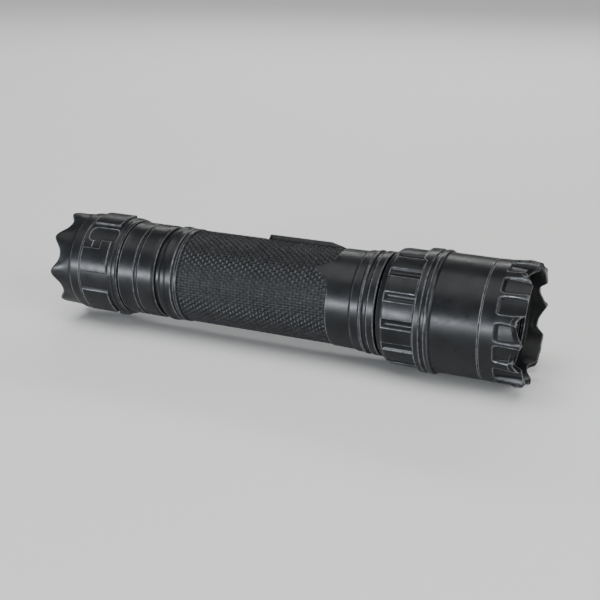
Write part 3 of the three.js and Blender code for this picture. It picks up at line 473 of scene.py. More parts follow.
def tongue_mask(x, angle):
    """1 on the smooth tongues that run back from the collar into the knurl and flare at its edge."""
    mask = np.zeros_like(x)
    t = np.clip((x - (KNURL_END - TONGUE_LENGTH)) / TONGUE_LENGTH, 0, 1)
    reach = TONGUE_HALF * t + TONGUE_FLARE * t ** 6
    for centre in TONGUE_ANGLES:
        across = np.abs(off(angle, centre)) * GRIP_R * math.pi / 180
        mask = np.maximum(mask, smooth((reach - across) / TONGUE_WALL + 0.5) * (t > 0))
    return mask


def switch_pad(x, angle, surface):
    """The surface with the side switch's raised pad, its plain surround and its slot."""
    widest = 1.0  # radians each side; the cosines below are only used within it
    foot = 0.1  # how far the slope's end runs under the grip
    turn = np.radians(off(angle, SWITCH_ANGLE))
    ahead = np.abs(turn) < widest
    safe = np.where(ahead, turn, 0)
    slope = np.clip((x - PAD_SLOPE) / (PAD_X[1] - PAD_SLOPE), 0, 1)
    top = (PAD_TOP - slope * (PAD_TOP - GRIP_R + foot)) / np.cos(safe)
    across = PAD_TOP * np.tan(safe)
    pad = patch(x, across, PAD_X, (-PAD_HALF, PAD_HALF), PAD_CORNER, PAD_WALL) * ahead
    margin = PAD_SURROUND
    skirt = patch(x, across, (PAD_X[0] - margin, PAD_X[1] + margin),
                  (-PAD_HALF - margin, PAD_HALF + margin), PAD_CORNER + margin, PAD_WALL) * ahead
    surface = surface + (np.minimum(surface, GRIP_R) - surface) * skirt * (x < KNURL_END)
    surface = surface + np.maximum(top - surface, 0) * pad
    slot = patch(x, across, BUTTON_X, (-BUTTON_HALF, BUTTON_HALF), BUTTON_HALF, SLOT_WALL) * ahead
    return surface + (BUTTON_FLOOR / np.cos(safe) - surface) * slot


def shape_body(x, r, angle):
    """Knurl, tongues, switch pad and tail thread, on the turned body."""
    outside = r > THREAD_R - 0.4
    edge = 0.3
    in_knurl = smooth((x - KNURL_START) / edge) * smooth((KNURL_END - x) / edge)
    plain = np.maximum(1 - in_knurl, tongue_mask(x, angle))
    bumps = KNURL_FLOOR_R + knurl_height(x, angle)
    in_band = (x > KNURL_START - edge) & (x < KNURL_END + edge)
    surface = np.where(in_band, plain * BAND_R + (1 - plain) * bumps, r)
    surface = switch_pad(x, angle, surface)
    _, threaded = thread(*THREAD_X)(x, r, angle)
    surface = np.where(outside & (x < THREAD_X[1]), threaded, surface)
    return x, np.where(outside & (x > BODY_START + 1) | (x < THREAD_X[1]), surface, r)


def build_body():
    """The whole tube from tail thread to collar, with the seal groove and the turned lines."""
    seal = THREAD_X[1]
    seal_r, low = 10.8, 0.35
    profile = rounded([
        (SOCKET_START, BORE_R), (BODY_THREAD_START, BORE_R), (BODY_THREAD_START, THREAD_R - 0.3),
        (THREAD_X[0] + 0.2, THREAD_R), (seal, THREAD_R), (seal, seal_r, 0.1),
        (seal + 1.2, seal_r, 0.1), (seal + 1.2, THREAD_R), (BODY_START, THREAD_R),
        (BODY_START, BAND_R - 0.2), (BODY_START + 0.25, BAND_R + 0.1), (24.0, BAND_R),
        (REAR_LINE[0], BAND_R), (REAR_LINE[0] + low, BAND_R - low),
        (REAR_LINE[1] - low, BAND_R - low), (REAR_LINE[1], BAND_R),
        (DEEP_GROOVE[0] - 1, BAND_R), (DEEP_GROOVE[0], 12.75),
        (DEEP_GROOVE[0] + 0.2, DEEP_GROOVE_R), (DEEP_GROOVE[1] - 0.3, DEEP_GROOVE_R),
        (DEEP_GROOVE[1], BAND_R - 0.1), (RIDGE[0], RIDGE_R, 0.4), (RIDGE[1] - 0.5, RIDGE_R, 0.4),
        (RIDGE[1] + 0.3, BAND_R), (FRONT_LINE[0], BAND_R), (FRONT_LINE[0] + 0.25, BAND_R - low),
        (FRONT_LINE[1] - 0.25, BAND_R - low), (FRONT_LINE[1], BAND_R),
        (KNURL_START, BAND_R), (KNURL_END, BAND_R), (COLLAR_FOOT, BAND_R + 0.1),
        (COLLAR_FOOT + 0.5, COLLAR_LOW_R), (COLLAR_LINE[0] - 0.9, COLLAR_LOW_R + 0.05),
        (COLLAR_LINE[0] - 0.5, COLLAR_R), (COLLAR_LINE[0], COLLAR_R - 0.05),
        (COLLAR_LINE[0] + 0.3, COLLAR_LINE_R), (COLLAR_LINE[1] - 0.3, COLLAR_LINE_R),
        (COLLAR_LINE[1], COLLAR_R), (BODY_END, COLLAR_R, 0.3), (BODY_END, THREAD_BORE_R),
        (SOCKET_START, THREAD_BORE_R),
    ])
    profile = refined(profile, *THREAD_X, THREAD_PITCH / 8)
    profile = refined(profile, KNURL_START - 0.2, KNURL_END + 0.3, KNURL_PITCH / 9)
    shell = revolve("body_shell", profile, KNURL_COLUMNS, shape_body)
    spare_edges(shell, KNURL_START, KNURL_END, KNURL_WEAR_AND_HIGHLIGHT)
    return shell


# ---- Side switch ------------------------------------------------------------------------------
def stadium(inset, count=24):
    """Outline of the switch slot, (station, across), moved inwards by inset."""
    radius = BUTTON_HALF - inset
    centres = (BUTTON_X[1] - BUTTON_HALF, BUTTON_X[0] + BUTTON_HALF)
    points = []
    for centre, first in zip(centres, (-90, 90)):
        for t in np.linspace(first, first + 180, count):
            points.append((centre + radius * math.cos(math.radians(t)), radius * math.sin(math.radians(t))))
    return np.array(points)


def stacked(name, rings, closed=False):
    """A piece on the switch's axis, from (inset, height) rings.

    The first and last ring are capped, or joined to each other if it is closed."""
    outward, sideways = radial_frame(SWITCH_ANGLE)
    corners = []
    for inset, height in rings:
        corners += [np.array((x, 0, 0)) + sideways * y + outward * height for x, y in stadium(inset)]
    rows = len(rings)
    count = len(corners) // rows
    faces = []
    for i in range(rows if closed else rows - 1):
        here, above = i * count, ((i + 1) % rows) * count
        for j in range(count):
            k = (j + 1) % count
            faces.append((here + j, here + k, above + k, above + j))
    if not closed:
        faces += [list(range(count))[::-1], [(rows - 1) * count + j for j in range(count)]]
    return finish_mesh(name, corners, faces, weld=True)


def build_side_frame():
    """Anodised bezel of the side button: a ring with rounded lips, closed back on itself."""
    outer, inner, low, high = 0.25, 0.95, 13.0, PAD_TOP
    lip, chamfer = 0.2, 0.06
    rings = [(outer, low), (outer, high - lip), (outer + chamfer, high - chamfer), (outer + lip, high),
             (inner - lip, high), (inner - chamfer, high - chamfer), (inner, high - lip), (inner, low)]
    return stacked("side_switch_frame", rings, closed=True)


def build_side_button():
    """Rubber button with a domed edge and a shallow dished finger rest."""
    top = PAD_TOP - 0.05
    rings = [(0.5, 12.4), (0.5, 12.7), (1.2, 12.7), (1.2, top - 0.3), (1.26, top - 0.12),
             (1.4, top - 0.02), (1.6, top), (1.9, top - 0.04), (2.2, top - 0.2), (2.6, top - 0.28),
             (3.0, top - 0.3), (3.3, top - 0.3)]
    return stacked("side_switch_button", rings)


# ---- Selector ring ----------------------------------------------------------------------------
COVE_COUNT, COVE_FIRST, COVE_HALF, COVE_DEPTH = 14, 2.4, 4.5, 0.7
COVE_START, COVE_RAMP, COVE_ROUND = SELECTOR_START + 1.9, 1.1, 0.8
SNAP_POCKET_R, SNAP_POCKET_END, SELECTOR_BORE_R = 13.2, 100.6, 12.6


def shape_selector(x, r, angle):
    """Round-bottomed grooves, closed at the tail side and open at the head side."""
    outside = r > SNAP_POCKET_R + 0.4
    across = from_nearest(angle, COVE_COUNT, COVE_FIRST) / COVE_HALF
    cove = np.clip(1 - across ** 2, 0, 1) ** COVE_ROUND
    ramp = np.sqrt(np.clip((x - COVE_START) / COVE_RAMP, 0, 1))
    return x, r - np.where(outside, COVE_DEPTH * np.minimum(cove, ramp), 0)


def build_selector():
    """The grooved ring with the pocket for its snap ring."""
    rim = SELECTOR_START + 1.8
    profile = rounded([
        (SNAP_POCKET_END, SNAP_POCKET_R), (SELECTOR_START, SNAP_POCKET_R),
        (SELECTOR_START, 13.7), (rim, SELECTOR_R - 0.15, 0.4), (rim + 0.7, SELECTOR_R, 0.4),
        (SELECTOR_END, SELECTOR_R), (SELECTOR_END, SELECTOR_BORE_R),
        (SNAP_POCKET_END, SELECTOR_BORE_R),
    ])
    profile = refined(profile, rim, SELECTOR_END, 0.16)
    return revolve("selector_grip", profile, COVE_COLUMNS, shape_selector)


# ---- Head barrel ------------------------------------------------------------------------------
SHOULDER_HALF, SHOULDER_REACH = 50, 1.1  # degrees each side of the switch, and how far back
SHOULDER_EDGE, SHOULDER_DEPTH = 4, 0.7  # degrees over which it ends, and how far it draws the flange along
TENON_THREAD_X = (89.6, 94.0)
FLANGE_LINE = (110.3, 111.5)
SHELF = (100.2, 104.2)  # wall that carries the LED
SNAP_GROOVE, SNAP_GROOVE_R = (99.2, 100.2), 11.7
NECK_R, TENON_BORE_R, CHAMBER_R, CAVITY_R, BARREL_BORE_R = 12.2, 10.3, 11.0, 14.0, 14.5
CAVITY_START, BARREL_THREAD_START = 110.6, 119.0


def shape_barrel(x, r, angle):
    """The index shoulder reaches back over the selector ring round the switch side."""
    turn = np.abs(off(angle, SWITCH_ANGLE))
    inside = np.sqrt(smooth((SHOULDER_HALF - turn) / SHOULDER_EDGE))
    face_end = FLANGE_START + SHOULDER_DEPTH
    face = (r > SELECTOR_R + 0.28) & (x < face_end) & (x > FLANGE_START - 0.3)
    back = SHOULDER_REACH * inside * smooth((face_end - x) / 0.6)
    _, threaded = thread(*TENON_THREAD_X)(x, r, angle)
    on_thread = (x < TENON_THREAD_X[1] + 0.2) & (r > THREAD_R - 0.6)
    return x - np.where(face, back, 0), np.where(on_thread, threaded, r)


def build_barrel():
    """The head tube from its tenon thread to the bezel thread, with the LED's shelf across it."""
    seal, seal_r, tenon_end = TENON_THREAD_X[1] + 0.3, 10.95, 98.1
    line_r = FLANGE_R - 0.4
    profile = rounded([
        (SHELF[0], 0, 0), (SHELF[0], TENON_BORE_R), (BARREL_START, TENON_BORE_R),
        (BARREL_START, THREAD_R - 0.3), (TENON_THREAD_X[0], THREAD_R), (seal, THREAD_R),
        (seal, seal_r, 0.1), (seal + SEAL_GROOVE, seal_r, 0.1), (seal + SEAL_GROOVE, THREAD_R),
        (tenon_end, THREAD_R), (tenon_end, NECK_R), (SNAP_GROOVE[0], NECK_R),
        (SNAP_GROOVE[0], SNAP_GROOVE_R, 0.1), (SNAP_GROOVE[1], SNAP_GROOVE_R, 0.1), (SNAP_GROOVE[1], NECK_R),
        (FLANGE_START, NECK_R), (FLANGE_START, SELECTOR_R + 0.31, 0.03),
        (FLANGE_START, FLANGE_R - 0.05, 0.3), (FLANGE_LINE[0], FLANGE_R, 0.35),
        (FLANGE_LINE[0] + 0.25, line_r, 0.1), (FLANGE_LINE[1] - 0.25, line_r, 0.1),
        (FLANGE_LINE[1], FLANGE_R - 0.02, 0.35), (FLANGE_LINE[1] + 1, FLANGE_R - 0.05, 0.35),
        (FLANGE_LINE[1] + 1.4, HEAD_R + 0.05), (BARREL_END - 0.1, HEAD_R - 0.02, 0.1),
        (BARREL_END + 0.05, HEAD_R - 0.17, 0.05), (BARREL_END + 0.05, BARREL_BORE_R),
        (BARREL_THREAD_START, BARREL_BORE_R), (BARREL_THREAD_START, CAVITY_R),
        (CAVITY_START, CAVITY_R), (CAVITY_START, CHAMBER_R), (SHELF[1], CHAMBER_R),
        (SHELF[1], 0, 0),
    ], closed=False)
    profile = refined(profile, *TENON_THREAD_X, THREAD_PITCH / 8)
    return revolve("head_shell", profile, BARREL_COLUMNS, shape_barrel, closed=False)


# ---- Strike bezel -----------------------------------------------------------------------------
RIDGE_COUNT, RIDGE_HALF = 16, 1.5  # half width in degrees
RIDGE_EXTRA, RIDGE_FLARE = 2.1, 1.3  # added beside the teeth, and towards the rim
RECESS_START, RECESS_FLOOR_R = 128.5, HEAD_R - 0.45  # the shallow pockets between the ridges
RECESS_RAMP, RECESS_WALL, RECESS_ROUND = 1.1, 0.45, 0.7  # slopes of their ends and sides, and corners
LIP, LIP_R, MOUTH_R, RIM_R = (129.9, 130.7), 12.1, 13.5, 14.2
TEETH = 4  # pointed teeth of the rim, with full-length parts between them
NOTCH_DEPTH = 2.0
NOTCH_BEVEL, NOTCH_BEVEL_REACH = 0.5, 1.8  # slope on the outside of each notch
NOTCH_HALF, NOTCH_EDGE, NOTCH_STEEP = 19.5, 29, 8.5  # degrees, from the middle of a tooth
SKIRT_THREAD_X = (SKIRT_START + 0.3, 122.8)
SKIRT_R, SKIRT_THREAD_DEPTH = 14.2, 0.4
SEAL_X, SEAL_FLOOR_R = (123.0, 123.8), 13.7


def notch_depth(angle):
    """How far the rim is cut back: concave down from each tooth, then steeply up again."""
    away = from_nearest(angle, TEETH)
    blunt = 0.8
    eased = np.sqrt(away ** 2 + blunt ** 2) - blunt
    scoop = np.sin(np.radians(90) * np.clip(eased / NOTCH_HALF, 0, 1))
    rise = np.clip((NOTCH_EDGE - away) / NOTCH_STEEP, 0, 1)
    return NOTCH_DEPTH * scoop * smooth(0.1 + 0.9 * rise) ** 0.8 * (rise > 0)


def shape_bezel(x, r, angle):
    """Ridges and pockets round the outside, the notched rim and the male thread of the skirt."""
    outside = (r > SKIRT_R + 0.75) & (x > RECESS_START - 0.5)
    along = np.clip((x - RECESS_START) / (LENGTH - RECESS_START), 0, 1)
    beside_tooth = (1 - np.cos(np.radians(RIDGE_COUNT / 2 * angle))) / 2
    ridge = RIDGE_HALF + RIDGE_EXTRA * beside_tooth + RIDGE_FLARE * along ** 3 * (0.4 + beside_tooth)
    beside = (from_nearest(angle, RIDGE_COUNT) - ridge) * HEAD_R * math.pi / 180
    ahead = (x - RECESS_START) * RECESS_WALL / RECESS_RAMP
    corner = np.hypot(np.maximum(RECESS_ROUND - beside, 0), np.maximum(RECESS_ROUND - ahead, 0))
    recess = smooth((RECESS_ROUND - corner) / RECESS_WALL) * (beside > 0) * (ahead > 0)
    shaped = r - np.maximum(r - RECESS_FLOOR_R, 0) * recess
    _, threaded = thread(*SKIRT_THREAD_X, SKIRT_R, SKIRT_THREAD_DEPTH)(x, r, angle)
    on_thread = (x < SKIRT_THREAD_X[1] + 0.1) & (r > SKIRT_R - 0.6)
    cut = notch_depth(angle)
    shaped = shaped - NOTCH_BEVEL * cut / NOTCH_DEPTH * smooth(1 - (LENGTH - x) / NOTCH_BEVEL_REACH)
    reach = smooth((x - LIP[1] - 0.3) / (LENGTH - LIP[1] - 0.3))
    return x - cut * reach, np.where(outside, shaped, np.where(on_thread, threaded, r))


def build_bezel():
    """The front ring: threaded skirt, seal groove, lens seat, lip and flared rim."""
    profile = rounded([
        (LIP[0], LIP_R), (LIP[0], LENS_R + 0.3), (SKIRT_START, LENS_R + 0.3),
        (SKIRT_START, SKIRT_R), (SEAL_X[0], SKIRT_R), (SEAL_X[0], SEAL_FLOOR_R, 0.1),
        (SEAL_X[1], SEAL_FLOOR_R, 0.1), (SEAL_X[1], SKIRT_R), (BEZEL_START, SKIRT_R),
        (BEZEL_START, HEAD_R - 0.15, 0.05), (BEZEL_START + 0.12, HEAD_R, 0.1),
        (RECESS_START, HEAD_R + 0.1), (131.0, 15.85), (134.2, BEZEL_R - 0.1, 0.6),
        (LENGTH, BEZEL_R - 0.15, 0.3), (LENGTH, RIM_R, 0.25), (LIP[1] + 0.5, MOUTH_R, 0.4),
        (LIP[1] + 0.1, LIP_R),
    ])
    profile = refined(profile, *SKIRT_THREAD_X, THREAD_PITCH / 6)
    profile = refined(profile, RECESS_START - 0.6, LENGTH, 0.16)
    return revolve("strike_bezel_ring", profile, FINE_COLUMNS, shape_bezel)


# ---- Materials --------------------------------------------------------------------------------
def nodes_of(name):
    """A new material with only an output and a Principled shader."""
    material = bpy.data.materials.new(name)
    material.use_nodes = True
    tree = material.node_tree
    tree.nodes.clear()
    output = tree.nodes.new("ShaderNodeOutputMaterial")
    shader = tree.nodes.new("ShaderNodeBsdfPrincipled")
    tree.links.new(shader.outputs["BSDF"], output.inputs["Surface"])
    return material, tree, shader


def noise(tree, scale, detail=4, roughness=0.6, stretch=None):
    """Noise factor in the object's own space, with scale in features per metre."""
    place = tree.nodes.new("ShaderNodeTexCoord").outputs["Object"]
    if stretch:
        mapping = tree.nodes.new("ShaderNodeMapping")
        mapping.inputs["Scale"].default_value = stretch
        tree.links.new(place, mapping.inputs["Vector"])
        place = mapping.outputs["Vector"]
    texture = tree.nodes.new("ShaderNodeTexNoise")
    texture.inputs["Scale"].default_value = scale
    texture.inputs["Detail"].default_value = detail
    texture.inputs["Roughness"].default_value = roughness
    tree.links.new(place, texture.inputs["Vector"])
    return texture.outputs["Fac"]


def remap(tree, value, low, high, out_low, out_high):
    """Value moved from one range to another, clamped."""
    node = tree.nodes.new("ShaderNodeMapRange")
    for socket, number in zip(("From Min", "From Max", "To Min", "To Max"), (low, high, out_low, out_high)):
        node.inputs[socket].default_value = number
    tree.links.new(value, node.inputs["Value"])
    return node.outputs["Result"]


def math_node(tree, operation, first, second):
    """Result of a clamped sum or product; each side is a number or a socket."""
    node = tree.nodes.new("ShaderNodeMath")
    node.operation = operation
    node.use_clamp = True
    for socket, value in zip(node.inputs, (first, second)):
        if isinstance(value, (int, float)):
            socket.default_value = value
        else:
            tree.links.new(value, socket)
    return node.outputs["Value"]


def blend_colours(tree, factor, first, second):
    """Colour that runs from first to second; each is a colour or a socket."""
    node = tree.nodes.new("ShaderNodeMix")
    node.data_type = "RGBA"
    tree.links.new(factor, node.inputs["Factor"])
    sockets = [s for s in node.inputs if s.type == "RGBA"]
    for socket, value in zip(sockets, (first, second)):
        if isinstance(value, tuple):
            socket.default_value = (*value, 1)
        else:
            tree.links.new(value, socket)
    return next(s for s in node.outputs if s.type == "RGBA")


def bump(tree, shader, height, strength, distance):
    """Gives the shader a surface relief from a height socket."""
    node = tree.nodes.new("ShaderNodeBump")
    node.inputs["Strength"].default_value = strength
    node.inputs["Distance"].default_value = distance
    tree.links.new(height, node.inputs["Height"])
    tree.links.new(node.outputs["Normal"], shader.inputs["Normal"])


def attribute(tree, name):
    """Value that mark_edges stored at the vertices."""
    node = tree.nodes.new("ShaderNodeAttribute")
    node.attribute_name = name
    return node.outputs["Fac"]


def surface(name, dark, light, edge_wear_and_highlight_colour=None, roughness=(0.35, 0.5), metallic=0.0, grain=2500,
            grain_depth=0.00002, edge_wear_and_highlight_strength=0.6, stretch=None, specular=0.5):
    """A finish with mottled colour, uneven roughness, fine grain, edges lightened partly by abrasion and
    partly as a painted highlight, and grooves made darker and rougher.
    """
    mottle_scale, rough_scale, scatter_scale = 90, 260, 700  # features per metre
    hollow_darkening_share, hollow_dulling, grain_strength = 0.5, 0.3, 0.35
    material, tree, shader = nodes_of(name)
    mottle = noise(tree, mottle_scale, 5)
    colour = blend_colours(tree, remap(tree, mottle, 0.35, 0.65, 0, 1), dark, light)
    rough = remap(tree, noise(tree, rough_scale, 5, 0.65), 0.3, 0.7, *roughness)
    shader.inputs["Metallic"].default_value = metallic
    shader.inputs["Specular IOR Level"].default_value = specular
    if edge_wear_and_highlight_colour:
        # Sharp edges turn lighter and more metallic: partly edge wear, partly a painted highlight along
        # every edge.
        scatter = remap(tree, noise(tree, scatter_scale, 6, 0.7), 0.42, 0.62, 0.3, 1)
        edges = math_node(tree, "MULTIPLY", attribute(tree, "edge"), scatter)
        wear_and_highlight_mask = math_node(tree, "MULTIPLY", edges, edge_wear_and_highlight_strength)
        colour = blend_colours(tree, wear_and_highlight_mask, colour, edge_wear_and_highlight_colour)
        metal = remap(tree, wear_and_highlight_mask, 0.25, 0.9, metallic, 0.9)
        tree.links.new(metal, shader.inputs["Metallic"])
        # Hollows turn darker and rougher.
        hollow_darkening = math_node(tree, "MULTIPLY", attribute(tree, "groove"), hollow_darkening_share)
        colour = blend_colours(tree, hollow_darkening, colour, tuple(0.5 * c for c in dark))
        rough = math_node(tree, "ADD", rough, math_node(tree, "MULTIPLY", hollow_darkening, hollow_dulling))
    tree.links.new(colour, shader.inputs["Base Color"])
    tree.links.new(rough, shader.inputs["Roughness"])
    bump(tree, shader, noise(tree, grain, 3, 0.5, stretch), grain_strength, grain_depth)
    return material


def glass():
    """Lens glass with a faint coating tint and a trace of smear."""
    material, tree, shader = nodes_of("coated_glass")
    smear = remap(tree, noise(tree, 120, 4), 0.4, 0.7, 0.0, 0.06)
    tree.links.new(smear, shader.inputs["Roughness"])
    tint = blend_colours(tree, noise(tree, 40), (0.93, 0.97, 0.99), (0.97, 0.98, 0.95))
    tree.links.new(tint, shader.inputs["Base Color"])
    shader.inputs["Transmission Weight"].default_value = 1.0
    shader.inputs["IOR"].default_value = 1.5
    return material


def make_materials():
    """One material for each slot of the record."""
    black, black_light = (0.0045, 0.0047, 0.0052), (0.0085, 0.0088, 0.0096)
    # Lighter edge colour: bare aluminium where edges are rubbed, and a painted edge highlight.
    bare_metal_and_highlight = (0.2, 0.205, 0.215)
    rubber, rubber_light, scuffed = (0.005,) * 3, (0.01,) * 3, (0.03,) * 3
    turned = {"metallic": 1.0, "grain": 1800, "grain_depth": 0.00001, "stretch": (12, 1, 1)}
    return {
        "anodised": surface("anodised_black", black, black_light, bare_metal_and_highlight, (0.25, 0.4),
                            grain=3500, edge_wear_and_highlight_strength=0.75, specular=0.15),
        "rubber": surface("black_rubber", rubber, rubber_light, scuffed, (0.62, 0.8),
                          grain=2200, grain_depth=0.00005, specular=0.35),
        "plastic": surface("dark_plastic", (0.02, 0.022, 0.024), (0.03, 0.032, 0.035),
                           (0.06, 0.062, 0.066), (0.4, 0.55)),
        "board": surface("green_board", (0.012, 0.075, 0.03), (0.02, 0.11, 0.045),
                         (0.12, 0.16, 0.08), (0.3, 0.45)),
        "steel": surface("plated_steel", (0.42, 0.42, 0.43), (0.55, 0.55, 0.56),
                         (0.7, 0.7, 0.7), (0.18, 0.34), **turned),
        "brass": surface("gilt_brass", (0.62, 0.42, 0.16), (0.75, 0.55, 0.24),
                         (0.85, 0.7, 0.4), (0.2, 0.36), **turned),
        "cell_wrap": surface("cell_wrap_blue", (0.02, 0.07, 0.22), (0.03, 0.1, 0.3),
                             (0.1, 0.18, 0.4), (0.25, 0.4)),
        "star": surface("white_star", (0.6, 0.6, 0.58), (0.72, 0.72, 0.7),
                        (0.75, 0.75, 0.75), (0.4, 0.6)),
        "phosphor": surface("led_phosphor", (0.7, 0.55, 0.08), (0.85, 0.7, 0.16),
                            (0.85, 0.75, 0.3), (0.25, 0.35)),
        "white_plastic": surface("white_plastic", (0.75, 0.75, 0.72), (0.82, 0.82, 0.8),
                                 (0.85, 0.85, 0.84), (0.4, 0.55)),
        "mirror": surface("reflector_silver", (0.86, 0.86, 0.87), (0.93, 0.93, 0.94), None,
                          (0.02, 0.07), 1.0, 900, 0.000006),
        "glass": glass(),
    }


# ---- Inner parts ------------------------------------------------------------------------------
def coil_path(start, end, radius_from, radius_to, turns):
    """Points along a coil about the axis."""
    points_per_turn = 40
    t = np.linspace(0, 1, int(turns * points_per_turn))
    r = radius_from + (radius_to - radius_from) * t
    turn = 2 * np.pi * turns * t
    return np.stack((start + (end - start) * t, r * np.cos(turn), r * np.sin(turn)), 1)


def build_coil(name, node, radius_from, radius_to, wire, turns):
    """A coil spring of round wire that fills its CAD node's length."""
    start, end, _ = span(node)
    path = coil_path(start + wire, end - wire, radius_from, radius_to, turns)
    return sweep(name, path, wire)


def build_detent_spring():
    """The small spring under the detent ball, standing radially."""
    radius, wire, turns, low, high = 0.6, 0.12, 3, 8.9, 10.4
    station = SNAP_GROOVE[1] + 2.2
    t = np.linspace(0, 1, 100)
    turn = 2 * np.pi * turns * t
    height = low + (high - low) * t
    outward, sideways = radial_frame(DETENT_ANGLE)
    path = (np.outer(station + radius * np.cos(turn), (1, 0, 0))
            + np.outer(radius * np.sin(turn), sideways) + np.outer(height, outward))
    return sweep("detent_coil", path, wire)


def build_seal(name, node, wire):
    """A rubber ring of round section in its groove."""
    start, end, radius = span(node)
    return revolve(name, ring_section((start + end) / 2, radius - wire, wire))


def build_cell():
    """Battery wrap with rolled-over ends and the insulator disc round its button."""
    start, end, _ = span("battery_cell", 20)
    radius, lip, well_r = 9.2, 0.6, 4.2
    profile = rounded([
        (start, 0, 0), (start, radius - 1.6, 0.1), (start + 0.15, radius - 1.5, 0.1),
        (start, radius - 1.3, 0.2), (start, radius, lip), (end, radius, lip),
        (end, radius - 1.5, 0.1), (end - 0.2, radius - 1.6, 0.1), (end - 0.2, well_r, 0.1),
        (end - 0.9, well_r, 0.1), (end - 0.9, 0, 0),
    ], closed=False)
    return revolve("cell_wrap", profile, COLUMNS, closed=False)


def build_cell_button():
    """Positive button of the cell, pressed from sheet."""
    start, end, _ = span("battery_top", 20)
    top_r, foot_r = 2.9, 3.6
    profile = rounded([
        (start, 0, 0), (start, foot_r, 0.1), (start + 0.5, foot_r, 0.2), (start + 0.6, top_r, 0.2),
        (end - 0.2, top_r, 0.35), (end, top_r - 0.6, 0.3), (end, 0, 0),
    ], closed=False)
    return revolve("cell_button", profile, 96, closed=False)


def build_reflector():
    """A parabolic bowl."""
    throat, mouth, wall = 3.2, 12.3, 0.7
    crowding = 1.6  # puts more of the rows near the throat, where it curves most
    t = np.linspace(0, 1, 60) ** crowding
    x = REFLECTOR_START + t * (REFLECTOR_END - REFLECTOR_START)
    bowl = np.sqrt((1 - t) * throat ** 2 + t * mouth ** 2)
    outside = np.stack((x, bowl + wall), 1)
    inside = np.stack((x, bowl), 1)[::-1]
    return revolve("reflector_bowl", np.concatenate((outside, inside)), 240)


def build_lens():
    """A flat disc with softened rims."""
    profile = rounded([
        (LENS_START, 0, 0), (LENS_START, LENS_R), (LENS_END, LENS_R), (LENS_END, 0, 0),
    ], closed=False)
    return revolve("lens_disc", profile, 200, closed=False)


def build_led():
    """Emitter: a chamfered base under a round silicone dome."""
    start, end, _ = span("led_emitter", 20)
    dome_r, base, base_r = 1.45, 0.6, 1.66
    turn = np.linspace(0, math.pi / 2, 14)
    centre = end - dome_r
    dome = [(centre + dome_r * math.cos(t), dome_r * math.sin(t), 0) for t in turn]
    skirt = [(start + base, dome_r, 0), (start + base, base_r, 0.1), (start, base_r, 0.05)]
    profile = rounded(dome + skirt + [(start, 0, 0)], closed=False)[::-1]
    return revolve("led_dome", profile, 64, closed=False)


# ---- Assembly ---------------------------------------------------------------------------------
materials = make_materials()
slots = {row["node"]: row["material_slot"] for row in frame["record"]["subparts"]}


def fit(piece, body, node):
    """Gives the piece its material and body, and lets it stand for its CAD node."""
    piece.data.materials.append(materials[slots[node]])
    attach(piece, body)
    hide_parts(node)


fit(build_tail_cap(), "tail_cap", "tail_cap")
fit(build_tail_button(), "tail_button", "tail_button")
fit(build_body(), "light", "body_tube")
fit(build_side_frame(), "light", "side_button_frame")
fit(build_side_button(), "side_button", "side_button")
fit(build_selector(), "selector", "selector_ring")
fit(build_barrel(), "light", "head_barrel")
fit(build_bezel(), "bezel", "strike_bezel")

fit(build_seal("tail_seal", "tail_oring", 0.42), "light", "tail_oring")
fit(build_seal("neck_seal", "neck_oring", 0.38), "light", "neck_oring")
fit(build_seal("lens_seal", "lens_oring", 0.4), "lens_group", "lens_oring")
fit(build_seal("bezel_seal", "bezel_oring", 0.2), "bezel", "bezel_oring")

return_spring = build_coil("return_coil", "tail_return_spring", 3.4, 3.4, 0.22, 3)
fit(return_spring, "tail_switch", "tail_return_spring")
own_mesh(return_spring)
contact_spring = build_coil("tail_contact_coil", "tail_contact_spring", 6.2, 3.4, 0.4, 4.5)
fit(contact_spring, "tail_switch", "tail_contact_spring")
driver_spring = build_coil("driver_contact_coil", "driver_contact_spring", 2.6, 3.6, 0.35, 3.5)
fit(driver_spring, "light", "driver_contact_spring")
fit(build_detent_spring(), "light", "detent_spring")

fit(build_cell(), "light", "battery_cell")
fit(build_cell_button(), "light", "battery_top")
fit(build_led(), "light", "led_emitter")
fit(build_reflector(), "light", "reflector")
fit(build_lens(), "lens_group", "lens")

# The other CAD nodes stay as they are, with softened edges and their own finish.
for name, node in frame["nodes"].items():
    if node.hide_render:
        continue
    node.data.materials.clear()
    node.data.materials.append(materials[slots[name]])
    soften = node.modifiers.new("soften", "BEVEL")
    soften.width = 0.05 * MM
    soften.segments = 2
    soften.limit_method = "ANGLE"
    soften.angle_limit = math.radians(35)


# ---- Floor, light and camera ------------------------------------------------------------------
CAMERA_PLACE, CAMERA_FORWARD = (0.1132, -0.24864, 0.09811), (-0.3767, 0.8584, -0.3482)
FOCAL_LENGTH, SENSOR_WIDTH = 64.05, 36


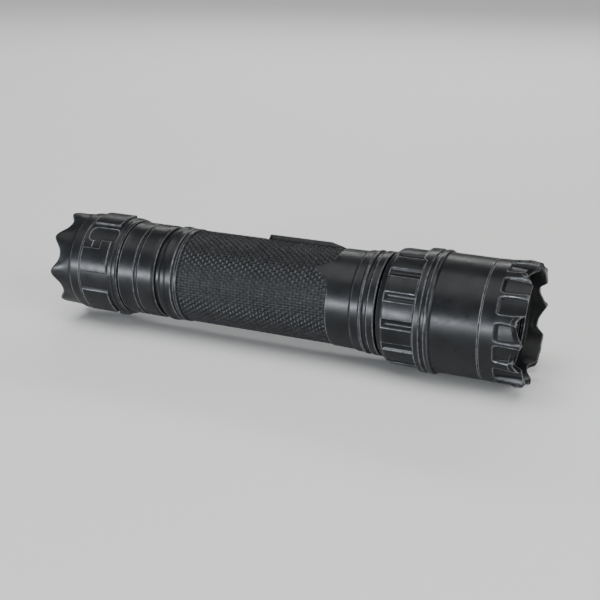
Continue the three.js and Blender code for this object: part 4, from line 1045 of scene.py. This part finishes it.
def pale_stage():
    """A plain square floor under the light."""
    half = 3.0  # metres
    floor_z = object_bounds()[0].z
    mesh = bpy.data.meshes.new("floor")
    corners = [(x, y, floor_z) for x, y in ((-half, -half), (half, -half), (half, half), (-half, half))]
    mesh.from_pydata(corners, [], [(0, 1, 2, 3)])
    floor = bpy.data.objects.new("floor", mesh)
    bpy.context.scene.collection.objects.link(floor)
    material, tree, shader = nodes_of("pale_floor")
    shader.inputs["Base Color"].default_value = (0.72, 0.72, 0.71, 1)
    shader.inputs["Roughness"].default_value = 0.75
    mesh.materials.append(material)


def soft_light(name, position, target, size, power, colour=(1, 1, 1)):
    """A rectangular lamp aimed at a target, with its size in metres and its power in watts."""
    data = bpy.data.lights.new(name, "AREA")
    data.color = colour
    data.shape = "RECTANGLE"
    data.size, data.size_y = size
    data.energy = power
    lamp = bpy.data.objects.new(name, data)
    bpy.context.scene.collection.objects.link(lamp)
    lamp.location = position
    aim = Vector(target) - Vector(position)
    lamp.rotation_euler = aim.to_track_quat("-Z", "Y").to_euler()


def light_scene():
    """A large soft light overhead, a low one in front, one for the lens end and a narrow one behind."""
    soft_light("overhead", (-0.3, -0.75, 3.0), (0, 0, 0), (3.3, 2.4), 99)
    soft_light("front", (-0.32, -0.75, 0.035), (0, 0, 0), (0.5, 0.06), 14, (0.88, 0.94, 1))
    soft_light("lens_side", (0.7, -0.25, 0.28), (0.06, 0, 0), (0.6, 0.5), 5)
    soft_light("back", (-0.1, 0.7, 0.45), (0, 0, 0), (0.9, 0.12), 3)
    world = bpy.data.worlds.new("studio")
    bpy.context.scene.world = world
    world.use_nodes = True
    background = world.node_tree.nodes["Background"]
    background.inputs["Color"].default_value = (0.86, 0.88, 0.9, 1)
    background.inputs["Strength"].default_value = 0.14


def photo_camera():
    """Camera at the photograph's viewing angle and distance."""
    data = bpy.data.cameras.new("camera")
    data.lens = FOCAL_LENGTH
    data.sensor_width = SENSOR_WIDTH
    data.clip_start = 0.01
    camera = bpy.data.objects.new("camera", data)
    bpy.context.scene.collection.objects.link(camera)
    camera.location = CAMERA_PLACE
    camera.rotation_euler = Vector(CAMERA_FORWARD).to_track_quat("-Z", "Y").to_euler()
    bpy.context.scene.camera = camera


pale_stage()
light_scene()
photo_camera()
